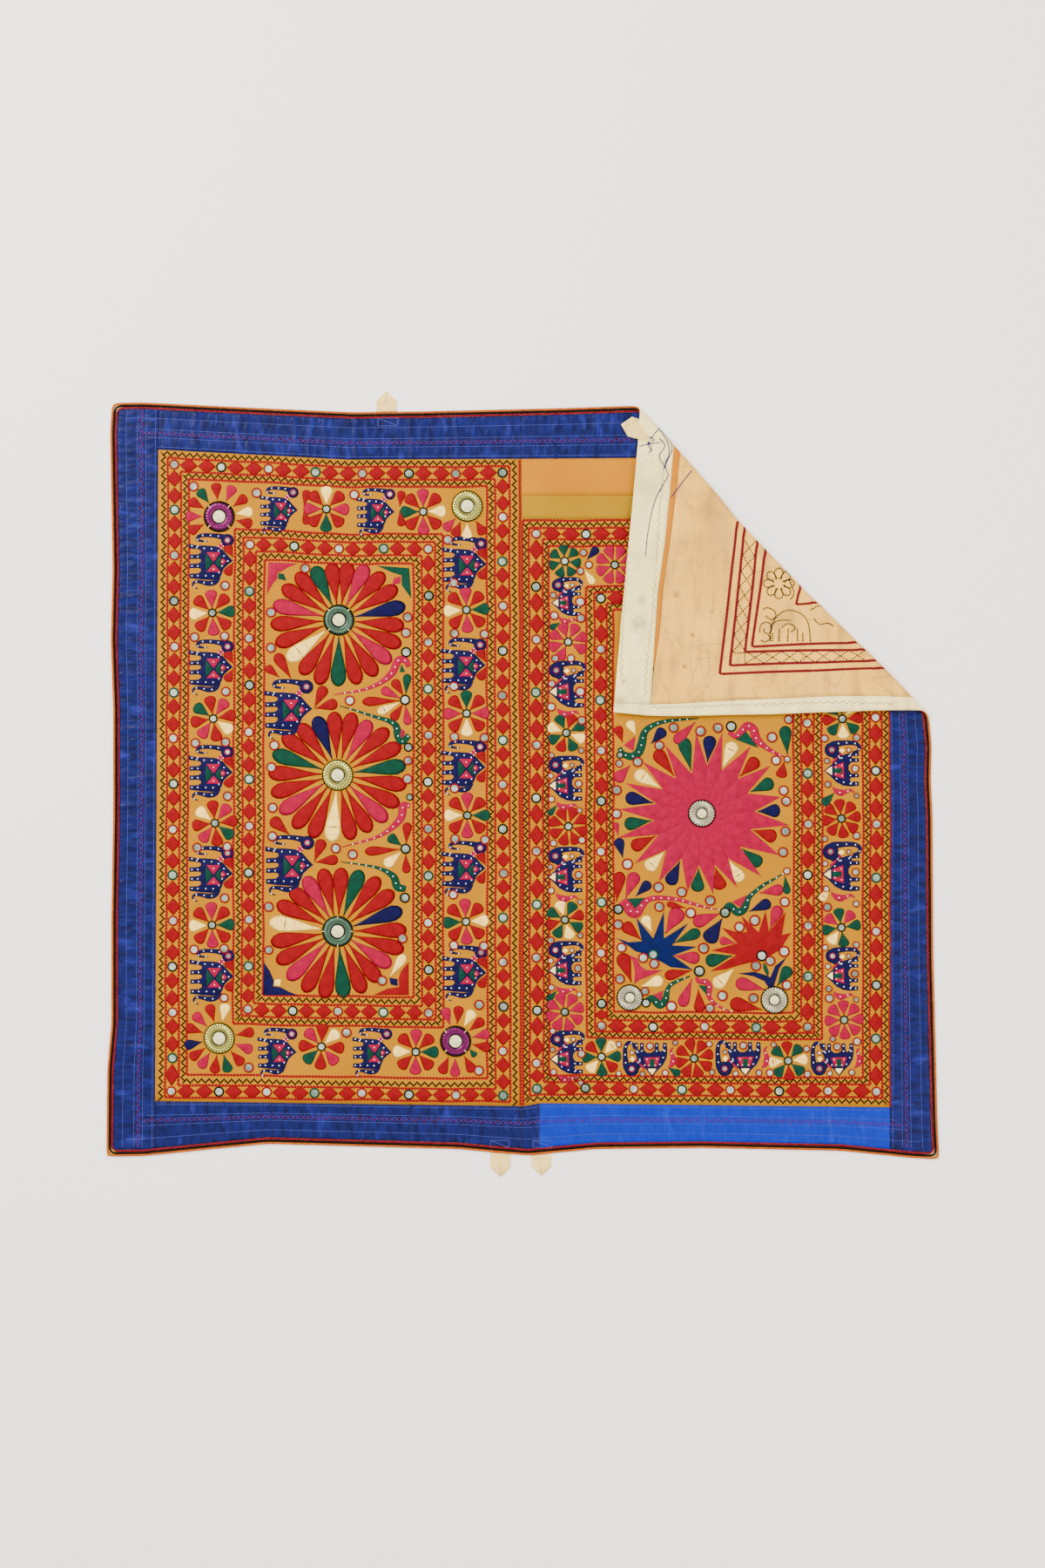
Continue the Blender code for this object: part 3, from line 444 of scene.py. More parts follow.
# Colours: the colour, its uneven part and, on soiled cloth, the soiling, whose colour also paints shade along the
# creases of loose cloth; on satin, its painted highlight and its painted shade
COTTONS = {
    "yellow": ("#A06909", "#966206"), "mustard": ("#966E0C", "#8C650A"), "orange": ("#AD6C07", "#A46506"),
    "unbleached": ("#E8AE4A", "#D89E3C", "#9A7440"), "cream": ("#F8E69C", "#F0D98A", "#CDB47C"),
    "raw_orange": ("#B46C0E", "#A6620C"), "tab": ("#F3D384", "#E0BC6C", "#AC8A50"),
}
# Satins: colour, colour of the painted highlights, colour of the painted shade, and which way its ripples run
SATINS = {"navy_upright": ("#0E1450", "#1D2474", "#060931", True), "blue": ("#012092", "#022C9F", "#011C86", False),
          "navy_level": ("#0E1450", "#1D2474", "#060931", False)}
PIPING_COLOURS = {"orange": ("#A24D12", "#8C3F0C"), "black": ("#080604", "#040303"), "red": ("#73091C", "#570414")}
BACK_THREADS = {"red": ("#690717", "#500410"), "black": ("#0E0A07", "#070504"), "faded": ("#3A2A20", "#2A1D15"),
                "slate": ("#182363", "#101749")}


# Lines and laying
def straight(rows, at):
    along, over = np.array(rows, float).T * MM
    return np.interp(at, along, over)


def eased(rows, at):
    along, over = np.array(rows, float).T * MM
    row = np.clip(np.searchsorted(along, at, side="right") - 1, 0, len(along) - 2)
    share = np.clip((at - along[row]) / (along[row + 1] - along[row]), 0, 1)
    return over[row] + (over[row + 1] - over[row]) * share * share * (3 - 2 * share)


def by_rows(rows, w):
    """An eased table, read at the rows along the fold and straight between them."""
    row = np.floor(w / ROW)
    share = w / ROW - row
    return eased(rows, row * ROW) * (1 - share) + eased(rows, (row + 1) * ROW) * share


def turn_of(x, y):
    """How far round the fold a place on the flat cloth is; below zero it lies flat."""
    dx, dy = x - FOLD_START[0], y - FOLD_START[1]
    w = dx * ALONG[0] + dy * ALONG[1]
    return w, dx * OUTWARD[0] + dy * OUTWARD[1] + by_rows(FOLD_SETBACK, w) + REACH


def lay(points):
    """Where points of the flat cloth lie, given as x, y and the height above the lining's back."""
    x, y, h = np.asarray(points, float).T
    w, t = turn_of(x, y)
    start = -by_rows(FOLD_SETBACK, w) - REACH
    middle = STACK / 2 - h
    lift = by_rows(FLAP_WAVE, w) * np.clip((t - ROUND_ARC) / EASE_ARC, 0, 1)
    angle = t / FOLD_RADIUS
    round_s = start + (FOLD_RADIUS + middle) * np.sin(angle)
    round_z = REACH - (FOLD_RADIUS + middle) * np.cos(angle)
    dip = np.maximum(FOLD_DIP - (t - ROUND_ARC) / EASE_RADIUS, 0)
    reach = FOLD_RADIUS + EASE_RADIUS
    far_s = start - reach * math.sin(FOLD_DIP) + (EASE_RADIUS - middle) * np.sin(dip)
    far_s -= np.maximum(t - ROUND_ARC - EASE_ARC, 0)
    far_z = REACH + reach * math.cos(FOLD_DIP) - (EASE_RADIUS - middle) * np.cos(dip)
    s = np.where(t <= ROUND_ARC, round_s, far_s)
    z = np.where(t <= ROUND_ARC, round_z, far_z) + lift
    flat = t <= 0
    out = np.empty((len(x), 3))
    out[:, 0] = np.where(flat, x, FOLD_START[0] + w * ALONG[0] + s * OUTWARD[0])
    out[:, 1] = np.where(flat, y, FOLD_START[1] + w * ALONG[1] + s * OUTWARD[1])
    out[:, 2] = np.where(flat, h, z)
    return out


def unfolded(x, y):
    """The place on the flat cloth that lies at x, y on the folded corner."""
    dx, dy = x - FOLD_START[0], y - FOLD_START[1]
    w = dx * ALONG[0] + dy * ALONG[1]
    s = dx * OUTWARD[0] + dy * OUTWARD[1]
    setback = by_rows(FOLD_SETBACK, w)
    ease_s = -setback - REACH - (FOLD_RADIUS + EASE_RADIUS) * math.sin(FOLD_DIP)
    flat_s = ease_s - s + ROUND_ARC + EASE_ARC - setback - REACH
    return FOLD_START[0] + w * ALONG[0] + flat_s * OUTWARD[0], FOLD_START[1] + w * ALONG[1] + flat_s * OUTWARD[1]


def steps(x, y):
    """Cloth steps as metres."""
    return (np.asarray(x, float) - MIDDLE[0]) * STEP, (MIDDLE[1] - np.asarray(y, float)) * STEP


def crossing(upright, level):
    """Where an upright line meets a level one, each a table and a shift."""
    x = y = 0.0
    for _ in range(12):
        x = float(straight(upright[0], y)) + upright[1]
        y = float(straight(level[0], x)) + level[1]
    return x, y


def smooth_line(points, parts):
    """A rounded line through the points, with each stretch in so many parts."""
    p = np.asarray(points, float)
    p = np.vstack((2 * p[0] - p[1], p, 2 * p[-1] - p[-2]))
    share = np.arange(parts)[:, None] / parts
    out = [0.5 * (2 * b + (c - a) * share + (2 * a - 5 * b + 4 * c - d) * share ** 2
                  + (3 * b - a - 3 * c + d) * share ** 3) for a, b, c, d in zip(p, p[1:], p[2:], p[3:])]
    return np.vstack((*out, p[-2]))


def lengths_along(line):
    """How far each place of a line is from its start."""
    return np.concatenate(([0], np.cumsum(np.linalg.norm(np.diff(line, axis=0), axis=1))))


def sideways(line):
    """The directions to the left of a line at its places, one unit long."""
    along = np.gradient(line, axis=0)
    along /= np.maximum(np.linalg.norm(along, axis=1), 1e-9)[:, None]
    return np.stack((-along[:, 1], along[:, 0]), axis=1)


def in_metres(rows):
    """Places in steps as x and y in metres."""
    return np.stack(steps(*np.array(rows, float).T), axis=1)


# Meshes as arrays: places, corners of all faces and corners in each face
def arrays_of(mesh):
    """The places and faces of a bmesh, its faces turned outwards. The bmesh is freed."""
    bmesh.ops.recalc_face_normals(mesh, faces=mesh.faces[:])
    mesh.verts.index_update()
    places = np.array([vert.co for vert in mesh.verts], float).reshape(-1, 3)
    loops = np.array([vert.index for face in mesh.faces for vert in face.verts], int)
    sizes = np.array([len(face.verts) for face in mesh.faces], int)
    mesh.free()
    return places, loops, sizes


def extruded(mesh, faces, kind, keep=True):
    """Extrudes faces where they are and gives the new faces or corners."""
    made = bmesh.ops.extrude_face_region(mesh, geom=faces, use_keep_orig=keep)["geom"]
    return [item for item in made if isinstance(item, kind)]


def raised(outline, centre=(0.0, 0.0), shrink=(0.7, 0.7), edge=0.35):
    """A closed pillow one unit high over an outline that can be seen whole from its centre."""
    mesh = bmesh.new()
    base = mesh.faces.new([mesh.verts.new((x, y, 0.0)) for x, y in outline])
    for height, scale in ((edge, (1.0, 1.0)), (1.0, shrink)):
        base = extruded(mesh, [base], BMFace, edge == height)[0]
        for vert in base.verts:
            vert.co.x = centre[0] + (vert.co.x - centre[0]) * scale[0]
            vert.co.y = centre[1] + (vert.co.y - centre[1]) * scale[1]
            vert.co.z = height
    return arrays_of(mesh)


def lens(corners):
    """A stitch: a flat oval one unit long and wide, with its middle raised."""
    mesh = bmesh.new()
    bmesh.ops.create_circle(mesh, cap_ends=True, segments=corners, radius=0.5)
    top = extruded(mesh, mesh.faces[:], BMFace)
    bmesh.ops.remove_doubles(mesh, verts=mesh.verts[:], dist=1e-5)
    top = [face for face in mesh.faces if face in top] or mesh.faces[:1]
    poked = bmesh.ops.poke(mesh, faces=top[:1])
    poked["verts"][0].co.z = 1.0
    return arrays_of(mesh)


def ring_shape():
    """A worked ring with a round section, one unit across and high."""
    mesh = bmesh.new()
    section = [mesh.verts.new((x, 0.0, z)) for x, z in RING_SECTION]
    edges = [mesh.edges.new((a, b)) for a, b in zip(section, section[1:] + section[:1])]
    bmesh.ops.spin(mesh, geom=section + edges, cent=(0, 0, 0), axis=(0, 0, 1), angle=math.tau, steps=16,
                   use_merge=True)
    bmesh.ops.remove_doubles(mesh, verts=mesh.verts[:], dist=1e-5)
    return arrays_of(mesh)


def circle(corners):
    """A round outline one unit across."""
    return [(0.5 * math.cos(math.tau * k / corners), 0.5 * math.sin(math.tau * k / corners)) for k in range(corners)]


def repeated(shape, x, y, turn, length, width, height, base=STACK, side=1):
    """Copies of a shape on the flat cloth, above its face or, with side -1, out of its back."""
    places, loops, sizes = shape
    x, y, turn, length, width, height, base = np.broadcast_arrays(
        *(np.atleast_1d(np.asarray(value, float)) for value in (x, y, turn, length, width, height, base)))
    u = places[None, :, 0] * length[:, None]
    v = places[None, :, 1] * width[:, None] * side
    cos, sin = np.cos(turn)[:, None], np.sin(turn)[:, None]
    out = np.stack((x[:, None] + u * cos - v * sin, y[:, None] + u * sin + v * cos,
                    base[:, None] + side * places[None, :, 2] * height[:, None]), axis=2)
    count = len(x)
    loops = (loops[None, :] + len(places) * np.arange(count)[:, None]).ravel()
    grain = np.stack((u, v), axis=2).reshape(-1, 2)
    return out.reshape(-1, 3), loops, np.tile(sizes, count), grain


def drop_outline():
    half = ((0.12, 0.075), (0.30, 0.20), (0.50, 0.35), (0.68, 0.47), (0.82, 0.49), (0.92, 0.38), (0.98, 0.2))
    return [(0, -0.03), *((x, -y) for x, y in half), (1, 0), *((x, y) for x, y in reversed(half)), (0, 0.03)]


def diamond_outline():
    return [(0.5, 0), (0.27, 0.27), (0, 0.5), (-0.27, 0.27), (-0.5, 0), (-0.27, -0.27), (0, -0.5), (0.27, -0.27)]


def filled(outline, rise=0.0009, edge=0.0004, inset=0.0008):
    """A closed pad of stitches over any outline in metres."""
    mesh = bmesh.new()
    face = mesh.faces.new([mesh.verts.new((x, y, 0.0)) for x, y in outline])
    face.normal_update()
    if face.normal.z < 0:
        face.normal_flip()
    top = extruded(mesh, [face], BMFace)
    for vert in top[0].verts:
        vert.co.z = edge
    bmesh.ops.inset_region(mesh, faces=top, thickness=inset, depth=rise - edge, use_even_offset=False)
    bmesh.ops.triangulate(mesh, faces=[face for face in mesh.faces if len(face.verts) > 4])
    places, loops, sizes = arrays_of(mesh)
    grain = places[:, :2].copy()
    places[:, 2] += STACK
    return places, loops, sizes, grain


def band(line, parts):
    """A raised strip along a line of x, y and half its width, in metres."""
    line = smooth_line(line, parts)
    over, far = sideways(line[:, :2]), lengths_along(line[:, :2])
    mesh = bmesh.new()
    count = len(line) - 1
    bmesh.ops.create_grid(mesh, x_segments=count, y_segments=4, size=0.5)
    upper = set(extruded(mesh, mesh.faces[:], BMVert))
    grain = []
    for vert in mesh.verts:
        index = round((vert.co.x + 0.5) * count)
        share = vert.co.y * 2
        place = line[index, :2] + over[index] * line[index, 2] * share
        high = BAND_RISE * (1 - 0.6 * share * share) if vert in upper else 0.0
        grain.append((far[index], share * line[index, 2]))
        vert.co = (place[0], place[1], high)
    places, loops, sizes = arrays_of(mesh)
    places[:, 2] += STACK
    return places, loops, sizes, np.array(grain)


def reverse_faces(loops, sizes):
    ends = np.cumsum(sizes)
    return np.concatenate([loops[end - size:end][::-1] for end, size in zip(ends, sizes)])


def moved(part, x, y, turn=0.0, size=1.0):
    """A part worked round the middle of the cloth, moved to its place."""
    places, loops, sizes, grain = part
    cos, sin = math.cos(turn) * size, math.sin(turn) * size
    out = places.copy()
    out[:, 0] = x + places[:, 0] * cos - places[:, 1] * sin
    out[:, 1] = y + places[:, 0] * sin + places[:, 1] * cos
    return out, loops, sizes, grain


def joined(parts):
    """One set of arrays from several."""
    places, loops, sizes, grain = zip(*parts)
    shift = np.cumsum([0] + [len(each) for each in places[:-1]])
    loops = np.concatenate([each + more for each, more in zip(loops, shift)])
    return np.vstack(places), loops, np.concatenate(sizes), np.vstack(grain)


def visible(x, y, last=LAST_STITCH):
    return turn_of(np.asarray(x, float), np.asarray(y, float))[1] < last


def add_piece(name, part, material, nodes=(), smooth=True):
    """The laid object of some arrays, riding on the frame."""
    places, loops, sizes, grain = part
    data = bpy.data.meshes.new(name)
    data.vertices.add(len(places))
    data.loops.add(len(loops))
    data.polygons.add(len(sizes))
    data.vertices.foreach_set("co", lay(places).astype(np.float32).ravel())
    data.loops.foreach_set("vertex_index", loops.astype(np.int32))
    starts = np.concatenate(([0], np.cumsum(sizes)[:-1]))
    data.polygons.foreach_set("loop_start", starts.astype(np.int32))
    data.polygons.foreach_set("use_smooth", np.full(len(sizes), smooth))
    data.update(calc_edges=True)
    layer = data.uv_layers.new(name="grain")
    layer.data.foreach_set("uv", grain[loops].astype(np.float32).ravel())
    data.validate()
    piece = bpy.data.objects.new(name, data)
    bpy.context.scene.collection.objects.link(piece)
    data.materials.append(material)
    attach(piece, "root")
    if nodes:
        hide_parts(*nodes)
    return piece


# Materials
def srgb(text):
    """An sRGB hex colour as linear numbers."""
    parts = [int(text[at:at + 2], 16) / 255 for at in (1, 3, 5)]
    return tuple(part / 12.92 if part <= 0.04045 else ((part + 0.055) / 1.055) ** 2.4 for part in parts) + (1.0,)


def node(tree, kind, settings=None, links=None):
    """One shader node with its settings, inputs and links from other sockets."""
    made = tree.nodes.new(f"ShaderNode{kind}")
    for key, value in (settings or {}).items():
        if isinstance(key, int) or key in made.inputs:
            made.inputs[key].default_value = value
        else:
            setattr(made, key, value)
    for key, socket in (links or {}).items():
        tree.links.new(socket, made.inputs[key])
    return made


def mixed(tree, share, first, second):
    """A colour between two, by a share from 0 to 1."""
    given = {0: share, 6: first, 7: second}
    links = {key: value for key, value in given.items() if isinstance(value, bpy.types.NodeSocket)}
    fixed = {key: value for key, value in given.items() if key not in links}
    return node(tree, "Mix", {"data_type": "RGBA", **fixed}, links).outputs[2]


def between(tree, socket, low, high, out_low=0.0, out_high=1.0):
    """A value spread from one range to another."""
    return node(tree, "MapRange", {"From Min": low, "From Max": high, "To Min": out_low, "To Max": out_high},
                {"Value": socket}).outputs["Result"]


def start_material(name):
    """A new material, its nodes and the way its threads lie."""
    material = bpy.data.materials.new(name)
    material.use_nodes = True
    tree = material.node_tree
    return material, tree, node(tree, "UVMap", {"uv_map": "grain"}).outputs["UV"]


def dress(tree, tone, roughness, specular=0.5, metallic=0.0, tone_and_shade=None, bumps=()):
    """Gives the shader its colour, made lighter and darker by the given value, its bumps, and the values that are even
    all over.
    """
    inputs = tree.nodes["Principled BSDF"].inputs
    if tone_and_shade is not None:
        tone = node(tree, "HueSaturation", {}, {"Color": tone, "Value": tone_and_shade}).outputs["Color"]
    tree.links.new(tone, inputs["Base Color"])
    under = {}
    for height, strength, distance in bumps:
        bump = node(tree, "Bump", {"Strength": strength, "Distance": distance}, {"Height": height, **under})
        under = {"Normal": bump.outputs["Normal"]}
    if under:
        tree.links.new(under["Normal"], inputs["Normal"])
    for key, value in (("Roughness", roughness), ("Specular IOR Level", specular), ("Metallic", metallic)):
        inputs[key].default_value = value


def spots(tree, grain, millimetres, stretch=(1.0, 1.0), detail=3.0):
    """Soft patches of a real size, from 0 to 1."""
    mapping = node(tree, "Mapping", {"Scale": (stretch[0], stretch[1], 1.0)}, {"Vector": grain})
    return node(tree, "TexNoise", {"Scale": 1000.0 / millimetres, "Detail": detail},
                {"Vector": mapping.outputs["Vector"]}).outputs["Fac"]


def yarns(tree, grain, millimetres, direction):
    """Yarns side by side at a real spacing."""
    return node(tree, "TexWave", {"Scale": 1000.0 / millimetres / math.tau * 0.314, "Distortion": 2.0,
                                  "Detail": 2.0, "Detail Scale": 1.5, "bands_direction": direction},
                {"Vector": grain}).outputs["Fac"]


@cache
def plain_weave_cotton(name, colour, shade, soil_and_crease_shade=None, stains=(), crumple=0.0012):
    """Plain-weave cotton: dull, with a fine cross grain, uneven dye and soft creases, and what has soiled it; loose
    cloth also gets painted shade along crease lines.
    """
    material, tree, grain = start_material(name)
    broad = between(tree, spots(tree, grain, 90), 0.3, 0.7)
    tone = mixed(tree, broad, srgb(colour), srgb(shade))
    if soil_and_crease_shade:
        streak = between(tree, spots(tree, grain, 22, (0.3, 1.0), 6), 0.48, 0.74, 0.0, 0.75)
        tone = mixed(tree, streak, tone, srgb(soil_and_crease_shade))
    # On loose cloth, thin dark lines of the soiling colour: painted shade along the creases
    if crumple > LOOSE_CRUMPLE:
        for millimetres, stretch in ((70, (1.0, 0.35)), (55, (0.3, 1.0))):
            off = node(tree, "Math", {"operation": "SUBTRACT", 1: 0.5},
                       {0: spots(tree, grain, millimetres, stretch, 2)}).outputs[0]
            near = node(tree, "Math", {"operation": "ABSOLUTE"}, {0: off}).outputs[0]
            tone = mixed(tree, between(tree, near, 0.0, 0.014, 0.45, 0.0), tone, srgb(soil_and_crease_shade))
    for x, y, radius, stain, strength in stains:
        apart = node(tree, "VectorMath", {"operation": "DISTANCE", 1: (*unfolded(*steps(x, y)), 0.0)}, {0: grain})
        ragged = node(tree, "Math", {"operation": "MULTIPLY_ADD", 1: radius * 1.6 * MM},
                      {0: spots(tree, grain, radius * 0.8, detail=4), 2: apart.outputs["Value"]}).outputs[0]
        mark = between(tree, ragged, radius * 2.0 * MM, radius * 0.9 * MM, 0.0, strength)
        tone = mixed(tree, mark, tone, srgb(stain))
    fine = between(tree, spots(tree, grain, 3.0), 0.25, 0.75, 0.90, 1.06)
    # Yarns stand about 0.4 mm apart and are drawn 1.6 mm apart so that they show
    weave = node(tree, "Math", {"operation": "ADD"},
                 {0: yarns(tree, grain, 1.6, "X"), 1: yarns(tree, grain, 1.6, "Y")}).outputs[0]
    pucker = spots(tree, grain, 24 if crumple > LOOSE_CRUMPLE else 14, (1.0, 0.45), 5)
    dress(tree, tone, 0.9, 0.02, tone_and_shade=fine, bumps=((weave, 0.25, 0.0002), (pucker, 0.6, crumple)))
    return material


@cache
def stitched_satin(name, colour, light, dark, across):
    """Cotton-backed satin: soft gloss, with ripples of painted highlight and painted shade between the stitched lines.
    """
    material, tree, grain = start_material(name)
    stretch = (0.4, 1.0) if across else (1.0, 0.4)
    # Painted shade: darker ripples drawn from the dark colour
    painted_ripple_shade = between(tree, spots(tree, grain, 11, stretch, 3), 0.34, 0.66)
    tone = mixed(tree, painted_ripple_shade, srgb(dark), srgb(colour))
    # Painted highlight: patches of the light colour standing in for the satin's sheen
    painted_highlight = between(tree, spots(tree, grain, 20, stretch, 4), 0.58, 0.76)
    tone = mixed(tree, painted_highlight, tone, srgb(light))
    tone_and_shade = between(tree, spots(tree, grain, 2.2, stretch), 0.2, 0.8, 0.84, 1.14)
    dress(tree, tone, 0.38, 0.1, tone_and_shade=tone_and_shade, bumps=((spots(tree, grain, 10, stretch, 3), 0.8, 0.0025),))
    return material


@cache
def silk_floss(name, colour, shade, strength=0.5):
    """Untwisted silk floss: rows of soft threads with a low sheen and uneven dye."""
    material, tree, grain = start_material(name)
    patch = between(tree, spots(tree, grain, 12), 0.3, 0.7)
    fleck = between(tree, spots(tree, grain, 2.2), 0.25, 0.75, 0.86, 1.12)
    # Threads lie about 0.5 mm apart and are drawn 1.4 mm apart so that they show
    dress(tree, mixed(tree, patch, srgb(colour), srgb(shade)), 0.6, 0.06, tone_and_shade=fleck,
          bumps=((yarns(tree, grain, 1.4, "X"), strength, 0.0003),))
    return material


@cache
def blown_mirror_glass():
    """Thin silvered glass, cut round by hand: pale grey, bright and a little spotted."""
    material, tree, _ = start_material("blown_mirror_glass")
    places = node(tree, "TexCoord").outputs["Object"]
    patch = between(tree, spots(tree, places, 34, detail=2), 0.38, 0.62)
    tone = mixed(tree, patch, srgb("#5C6D5F"), srgb("#A3AD9B"))
    speck = between(tree, spots(tree, places, 2.4), 0.60, 0.72)
    dress(tree, mixed(tree, speck, tone, srgb("#4D5C51")), 0.25, 0.2, 0.25)
    return material


@cache
def stamped_foil(name, colour, shade, gloss, low, high):
    """Thin stamped and lacquered sheet metal: bright on the bosses and darker in the hollows by painted shade, from
    its height.
    """
    material, tree, _ = start_material(name)
    places = node(tree, "TexCoord").outputs["Object"]
    patch = between(tree, spots(tree, places, 6), 0.35, 0.7, 0.75, 1.0)
    up = node(tree, "SeparateXYZ", {}, {"Vector": places}).outputs["Z"]
    # Painted shade: the lower the metal lies, from high down to low millimetres over the cloth, the nearer it comes to
    # the shade colour
    painted_shade_by_height = between(tree, up, STACK + GAP + low * MM, STACK + GAP + high * MM)
    # Painted shade by height, times uneven tone in small patches
    tone_and_shade = node(tree, "Math", {"operation": "MULTIPLY"}, {0: painted_shade_by_height, 1: patch}).outputs[0]
    dress(tree, mixed(tree, tone_and_shade, srgb(shade), srgb(colour)), gloss, metallic=0.85,
          bumps=((spots(tree, places, 3.5), 0.5, 0.0008),))
    return material


def paper_floor():
    """Matt paper, even and off-white."""
    material, tree, _ = start_material("matt_paper")
    for key, value in (("Base Color", srgb("#F1EEE9")), ("Roughness", 0.95), ("Specular IOR Level", 0.1)):
        tree.nodes["Principled BSDF"].inputs[key].default_value = value
    return material


THREADS = {
    "red": ("#7A040C", "#6A0309"), "pink": ("#8F012D", "#7C0026"), "green": ("#043827", "#032B1E"),
    "navy": ("#0B0738", "#070428"), "cream": ("#F3CF70", "#E3B852"), "brown": ("#6A4417", "#56360C"),
    "black": ("#0A0706", "#050404"), "white": ("#F6F6F1", "#DEDED6"), "faded_violet": ("#3C2F86", "#2E2468"),
    "faded_red": ("#5E1036", "#470B2C"), "blue": ("#041143", "#030C33"),
}


def thread(colour):
    return silk_floss(f"silk_floss_{colour}", *THREADS[colour])


# Cloth
def within(*lines):
    """The left, right, bottom and top line of a cloth, half a gap inwards where a line has no shift of its own."""
    return [line if isinstance(line[1], float) else (line, shift)
            for line, shift in zip(lines, (HALF, -HALF, HALF, -HALF))]


def sheet_piece(name, node_name, lines, low, high, material, slot, pitch, relief=None):
    """A piece of cloth between four lines, cut fine where it bends, thickened and laid."""
    left, right, bottom, top = lines
    corners = [crossing(upright, level) for level in (bottom, top) for upright in (left, right)]
    width = max(abs(corners[1][0] - corners[0][0]), abs(corners[3][0] - corners[2][0]))
    height = max(abs(corners[2][1] - corners[0][1]), abs(corners[3][1] - corners[1][1]))
    mesh = bmesh.new()
    bmesh.ops.create_grid(mesh, x_segments=max(2, round(width / pitch[0])),
                          y_segments=max(2, round(height / pitch[1])), size=0.5)
    u = np.array([vert.co.x + 0.5 for vert in mesh.verts])
    v = np.array([vert.co.y + 0.5 for vert in mesh.verts])
    x = corners[0][0] + width * u
    y = corners[0][1] + height * v
    for _ in range(12):
        x = (straight(left[0], y) + left[1]) * (1 - u) + (straight(right[0], y) + right[1]) * u
        y = (straight(bottom[0], x) + bottom[1]) * (1 - v) + (straight(top[0], x) + top[1]) * v
    for vert, place_x, place_y in zip(mesh.verts, x, y):
        vert.co = (place_x, place_y, 0.0)
    folded = turn_of(x, y)[1].max() > 0
    if folded:
        cut_at_fold(mesh)
    area = sum(face.calc_area() for face in mesh.faces)
    for vert in extruded(mesh, mesh.faces[:], BMVert):
        vert.co.z = high - low
    places, loops, sizes = arrays_of(mesh)
    places[:, 2] += low
    grain = places[:, :2].copy()
    if relief is not None:
        places[:, 2] += relief(places[:, 0], places[:, 1])
    piece = add_piece(name, (places, loops, sizes, grain), material, (node_name,))


def cut_at_fold(mesh):
    """Cuts a flat sheet into narrow rows where the fold bends it."""
    places = np.concatenate((np.arange(-0.018, 0.028, 0.0026), np.arange(0.028, 0.075, 0.007)))
    for s in places:
        at = FOLD_START + OUTWARD * s
        everything = mesh.verts[:] + mesh.edges[:] + mesh.faces[:]
        bmesh.ops.bisect_plane(mesh, geom=everything, dist=1e-5, plane_co=(*at, 0.0), plane_no=(*OUTWARD, 0.0))


def ripples(along, over, creases):
    """How satin rises between its stitched lines, in metres."""
    lines = (0.0, *SATIN_LINES, 1.0)
    rise = np.zeros_like(over)
    for start, end in zip(lines, lines[1:]):
        share = (over - start) / (end - start)
        rise += np.where((over >= start) & (over <= end), np.sin(np.pi * np.clip(share, 0, 1)), 0)
    wave = np.sin(along * 520 + 2.2 * np.sin(along * 61) + 5 * over)
    wave += 0.7 * np.sin(along * 331 + 2.7 * np.sin(along * 43 + 1.0) - 4 * over)
    swing = 0.55 + 0.45 * np.sin(along * 17 + 2 * np.sin(along * 7.3))
    height = 0.00025 + rise * (0.0004 + 0.0004 * np.maximum(wave, -0.6) * swing)
    for place in creases:
        off = (along - place) / 0.0035 + 1.2 * np.sin(over * 5 + place * 90) * 0.4
        height += 0.0011 * np.exp(-(off - 1.3) ** 2) - 0.0008 * np.exp(-off ** 2) * (height > 0.0008)
    return np.maximum(height, 0)


def satin_rise(side, x, y):
    """How far the satin of one side rises at places on the flat cloth, in metres."""
    outer, inner, upright, creases = SATIN_SIDES[side]
    along, over = (y, x) if upright else (x, y)
    low, high = straight(outer[0], along) + outer[1], straight(inner[0], along)
    share = np.clip((over - low) / (high - low), 0, 1)
    fade = np.clip(1 - turn_of(x, y)[1] / 0.006, 0, 1)
    return ripples(along, share, creases) * fade


def away_from(line, x, y):
    """How far places are from a line of straight runs."""
    best = np.full(np.shape(x), 9.0)
    for (x0, y0), (x1, y1) in zip(line, line[1:]):
        share = np.clip(((x - x0) * (x1 - x0) + (y - y0) * (y1 - y0)) / ((x1 - x0) ** 2 + (y1 - y0) ** 2), 0, 1)
        best = np.minimum(best, np.hypot(x - x0 - share * (x1 - x0), y - y0 - share * (y1 - y0)))
    return best


def on_flap(points):
    """Places in steps on the folded corner as places on the flat cloth."""
    return np.stack(unfolded(*steps(*np.array(points, float).T)), axis=1)


def back_relief(x, y):
    """Soft waves and creases of the loose back cloth on the folded corner, in metres out of it."""
    fade = np.clip((turn_of(x, y)[1] - ROUND_ARC * 0.6) / 0.03, 0, 1)
    wave = 0.5 * np.sin(x * 43 + 2 * np.sin(y * 21)) + 0.5 * np.sin(y * 57 - x * 23)
    wave += 0.35 * np.sin((x + y) * 91 + 1.6 * np.sin(x * 31))
    crease = sum(np.exp(-(away_from(on_flap(line), x, y) / 0.0045) ** 2) for line in CREASES)
    return -fade * np.clip(0.0008 + 0.0006 * wave + 0.0013 * crease, 0, 0.0028)


HALF = GAP / 2
LEFT, RIGHT = (LEFT_EDGE, SATIN_INSET), (RIGHT_EDGE, -SATIN_INSET)
BOTTOM, TOP = (BOTTOM_EDGE, SATIN_INSET), (TOP_EDGE, -SATIN_INSET)
